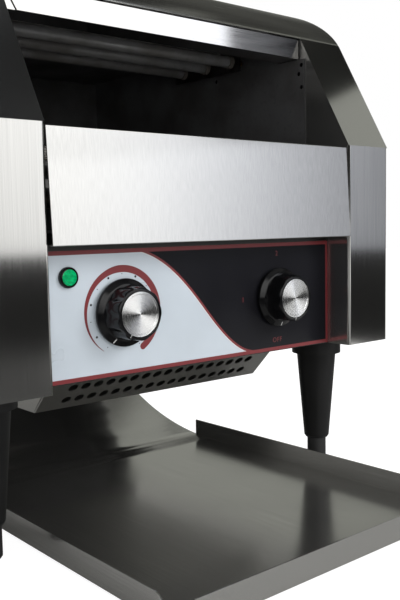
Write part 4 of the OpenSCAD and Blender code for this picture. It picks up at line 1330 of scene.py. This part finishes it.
@dataclass
class Studio:
    """Floor, lamps, surroundings and camera.

    A gain is a change of level: where it starts and ends, and the levels there. It runs with
    the bearing in degrees where its name says a side, and otherwise with a height or a depth.
    """

    camera_place: Vector = field(default_factory=lambda: Vector((-0.37027, -0.56816, 0.20785)))
    camera_turn: tuple[float, float, float] = (40.19, -5.26, -1.05)
    lens: float = 48.30
    sensor: float = 36.0
    floor_radius: float = 6.0
    floor_around: int = 96
    paper: tuple[Colour, Colour] = ((0.80, 0.80, 0.80), (0.84, 0.84, 0.84))
    paper_in_metal: Colour = (0.40, 0.40, 0.395)
    paper_shaded: Colour = (0.3, 0.3, 0.3)
    paper_glow: float = 0.92
    card_light: Colour = (1.0, 1.0, 0.98)
    near_floor: Point2 = (0.40, 0.62)
    far_gain: Four = (0.6, 1.2, 0.085, 0.02)
    behind_gain: Four = (-0.4, 0.3, 0.0, 0.5)
    card_place: Point2 = (0.50, -0.60)
    card_gain: Four = (0.16, 0.26, 1.0, 0.0)
    card_glow: float = 1.5
    slant_lean: float = math.radians(29.27)
    left_gain: Four = (18, 25, 1.25, 1.0)
    right_gain: Four = (26, 31, 1.0, 1.22)
    right_fade: Four = (36, 52, 1.0, 0.2)
    low_gain: Four = (-0.1, 0.25, 1.05, 1.45)
    high_gain: Four = (0.12, 0.3, 1.3, 1.8)
    streak_count: float = 160.0
    streak_gain: Four = (0.35, 0.65, 0.05, 0.32)
    rear_gain: Four = (-0.1, 0.3, 0.015, 0.10)
    above_gain: Four = (0.85, 0.95, 0.0, 0.35)
    green_turns: tuple[Four, Four] = ((28, 50, 1.0, 1.04), (55, 65, 0.0, 0.02))
    blue_turns: tuple[Four, Four] = ((28, 50, 0.99, 1.15), (55, 65, 0.0, 0.22))
    low_screen: Screen = Screen((-42, -28, 90, 110), (-0.11, -0.1, 0.178, 0.19))
    high_screen: Screen = Screen((-42, -28, 42.2, 42.8), (0.12, 0.16, 0.55, 0.68))
    slant_screen: Screen = Screen((60, 68, 88, 96), (0.25, 0.33, 0.4385, 0.4445), 0.40)
    streaky_screen: Screen = Screen((42.2, 42.8, 43.6, 48.5), (0.14, 0.17, 0.26, 0.3))
    dim_screens: tuple[Screen, ...] = (
        Screen((-54, -50, 39, 44), (0.6, 0.7, 0.95, 1.0), 0.28),
        Screen((46, 52, 60, 66), (0.55, 0.6, 0.7, 0.76), 0.38),
        Screen((62, 68, 82, 90), (0.70, 0.74, 0.775, 0.79), 0.30),
        Screen((115, 128, 190, 200), (-0.05, 0.0, 0.33, 0.6), 0.36),
        Screen((-200, -190, -70, -58), (-0.05, 0.0, 0.55, 0.8), 0.42))
    lamps: tuple[SoftLamp, ...] = (
        SoftLamp("key", (1.1, -1.5, 1.1), 0.8, 24.0),
        SoftLamp("fill", (-1.2, -1.3, 0.6), 1.0, 4.0),
        SoftLamp("overhead", (0.0, 0.0, 1.9), 1.4, 9.0),
        SoftLamp("behind", (0.6, 1.7, 1.0), 1.2, 8.0),
        SoftLamp("low", (-0.5, -1.0, 0.10), 0.4, 1.6))

    def build(self) -> None:
        """Sets the whole scene around the part."""
        self.build_camera()
        self.build_floor()
        self.build_world()
        for lamp in self.lamps:
            lamp.hang()
        bpy.context.scene.view_settings.view_transform = "Standard"

    def build_camera(self) -> None:
        """Stands the camera where it sees the toaster from the front left."""
        yaw, pitch, roll = (math.radians(a) for a in self.camera_turn)
        data = bpy.data.cameras.new("camera")
        data.lens = self.lens
        data.sensor_width = self.sensor
        data.clip_start = 10 * MM
        camera = bpy.data.objects.new("camera", data)
        aim = Euler((math.pi / 2 + pitch, 0, -yaw), "XYZ").to_matrix()
        turn = aim @ Matrix.Rotation(roll, 3, "Z")
        camera.matrix_world = Matrix.Translation(self.camera_place) @ turn.to_4x4()
        bpy.context.scene.collection.objects.link(camera)
        bpy.context.scene.camera = camera

    def build_floor(self) -> None:
        """Lays a pale floor that keeps the shadow.

        Metal shows it grey near the part and dark further off, lighter behind the part, with
        one bright card to the right of the front.
        """
        shape = bmesh.new()
        bmesh.ops.create_circle(shape, cap_ends=True, segments=self.floor_around,
                                radius=self.floor_radius)
        material = bpy.data.materials.new("floor_paper")
        material.use_nodes = True
        graph = Graph(material.node_tree)
        rays = graph.add("LightPath").outputs
        pale = graph.between(graph.specks(60.0, 3.0), *self.paper)
        in_metal = graph.mix(rays["Is Glossy Ray"], pale, self.paper_in_metal)
        matt = graph.add("BsdfDiffuse", {"Color": in_metal})
        shaded = graph.add("BsdfDiffuse", {"Color": (*self.paper_shaded, 1)})
        glow = graph.add("Emission", {"Color": (1, 1, 1, 1), "Strength": self.paper_glow})
        white = graph.add("AddShader", {0: shaded.outputs[0], 1: glow.outputs[0]})
        place = graph.add("TexCoord").outputs["Object"]
        distance = graph.vector_math("LENGTH", place).outputs["Value"]
        behind = graph.ramp(graph.axes(place)[1], *self.behind_gain)
        dim = graph.math("ADD", graph.ramp(distance, *self.far_gain), behind)
        from_card = graph.vector_math("DISTANCE", place, (*self.card_place, 0.0))
        card = graph.ramp(from_card.outputs["Value"], *self.card_gain)
        level = graph.math("MULTIPLY_ADD", card, self.card_glow, dim)
        lit = graph.add("Emission", {"Color": (*self.card_light, 1), "Strength": level})
        beyond = graph.math("MAXIMUM", graph.ramp(distance, *self.near_floor), card)
        fade = graph.math("MULTIPLY", beyond, rays["Is Glossy Ray"])
        reflected = graph.add("MixShader", {0: fade, 1: matt.outputs[0], 2: lit.outputs[0]})
        final = graph.add("MixShader", {0: rays["Is Camera Ray"], 1: reflected.outputs[0],
                                        2: white.outputs[0]})
        graph.add("OutputMaterial", {"Surface": final.outputs[0]})
        floor = object_from("floor", mesh_from("floor", shape), material)

    def build_world(self) -> None:
        """Surrounds the part with white for the camera, and with screens for metal."""
        world = bpy.data.worlds.new("studio")
        bpy.context.scene.world = world
        world.use_nodes = True
        graph = Graph(world.node_tree)
        x, y, z = graph.axes(graph.add("TexCoord").outputs["Generated"])
        bearing = graph.math("ARCTAN2", x, graph.math("MULTIPLY", y, -1.0))
        level = self.front_level(graph, bearing, z)
        along_slant = graph.math("ADD", graph.math("MULTIPLY", y, math.sin(self.slant_lean)),
                                 graph.math("MULTIPLY", z, math.cos(self.slant_lean)))
        streaks = graph.ramp(graph.bands(z, self.streak_count, 2.0), *self.streak_gain)
        streaky = graph.math("MULTIPLY", self.streaky_screen.seen(graph, bearing, z), streaks)
        for other in (self.slant_screen.seen(graph, bearing, along_slant), streaky,
                      *(screen.seen(graph, bearing, z) for screen in self.dim_screens),
                      graph.ramp(y, *self.rear_gain), graph.ramp(z, *self.above_gain)):
            level = graph.math("MAXIMUM", level, other)
        green, blue = (
            graph.math("MULTIPLY", level, graph.math(
                "SUBTRACT", *(self.by_bearing(graph, bearing, turn) for turn in turns)))
            for turns in (self.green_turns, self.blue_turns))
        studio = graph.add("CombineColor", {0: level, 1: green, 2: blue})
        around = graph.add("Background", {"Color": studio.outputs[0], "Strength": 1.0})
        white = graph.add("Background", {"Color": (1, 1, 1, 1), "Strength": 1.0})
        camera_ray = graph.add("LightPath").outputs["Is Camera Ray"]
        shown = graph.add("MixShader", {0: camera_ray, 1: around.outputs[0],
                                        2: white.outputs[0]})
        graph.add("OutputWorld", {"Surface": shown.outputs[0]})

    def front_level(self, graph: Graph, bearing: Socket, height: Socket) -> Socket:
        """The light of the two large screens in front of the part.

        Args:
            graph: the world's graph.
            bearing: the direction's bearing, in radians.
            height: the direction's height.

        Returns:
            The level's socket.
        """
        left, right = (self.by_bearing(graph, bearing, gain)
                       for gain in (self.left_gain, self.right_gain))
        fade = self.by_bearing(graph, bearing, self.right_fade, smooth=False)
        turning = graph.math("MULTIPLY", right, fade)
        low = graph.math("MULTIPLY", self.low_screen.seen(graph, bearing, height),
                         graph.math("MULTIPLY", graph.ramp(height, *self.low_gain), turning))
        high = graph.math("MULTIPLY", self.high_screen.seen(graph, bearing, height),
                          graph.ramp(height, *self.high_gain))
        return graph.math("MULTIPLY", graph.math("MAXIMUM", low, high), left)

    def by_bearing(self, graph: Graph, bearing: Socket, gain: Four, smooth: bool = True) -> Socket:
        """A level that changes from one bearing to another.

        Args:
            graph: the world's graph.
            bearing: the direction's bearing, in radians.
            gain: the two bearings in degrees, and the levels there.
            smooth: ease in and out.

        Returns:
            The level's socket.
        """
        start, end, first, last = gain
        return graph.ramp(bearing, math.radians(start), math.radians(end), first, last, smooth)


# ---------------------------------------------------------------- main


def main() -> None:
    """Builds every sub-assembly and the studio, in order."""
    logging.basicConfig(level=logging.INFO, format="%(name)s: %(message)s")
    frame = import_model()
    slots = {row["node"]: row["material_slot"] for row in frame["record"]["subparts"]}
    kit = Kit(make_finishes(), frame["nodes"], slots)
    sub_assemblies = [
        Casing(kit), Chamber(kit), Heating(kit), Conveyor(kit), Drive(kit), Electrics(kit),
        Underside(kit), CatchTray(kit), ControlPanel(kit), Lamp(kit),
        Dial(kit, "speed_dial", node="speed_knob", pointer=240.0),
        Dial(kit, "mode_dial", node="mode_knob", pointer=270.0),
    ]
    for sub_assembly in sub_assemblies:
        sub_assembly.build()
        log.info("built %s", type(sub_assembly).__name__)
    Studio().build()
    log.info("set the studio")


if __name__ == "__main__":
    main()
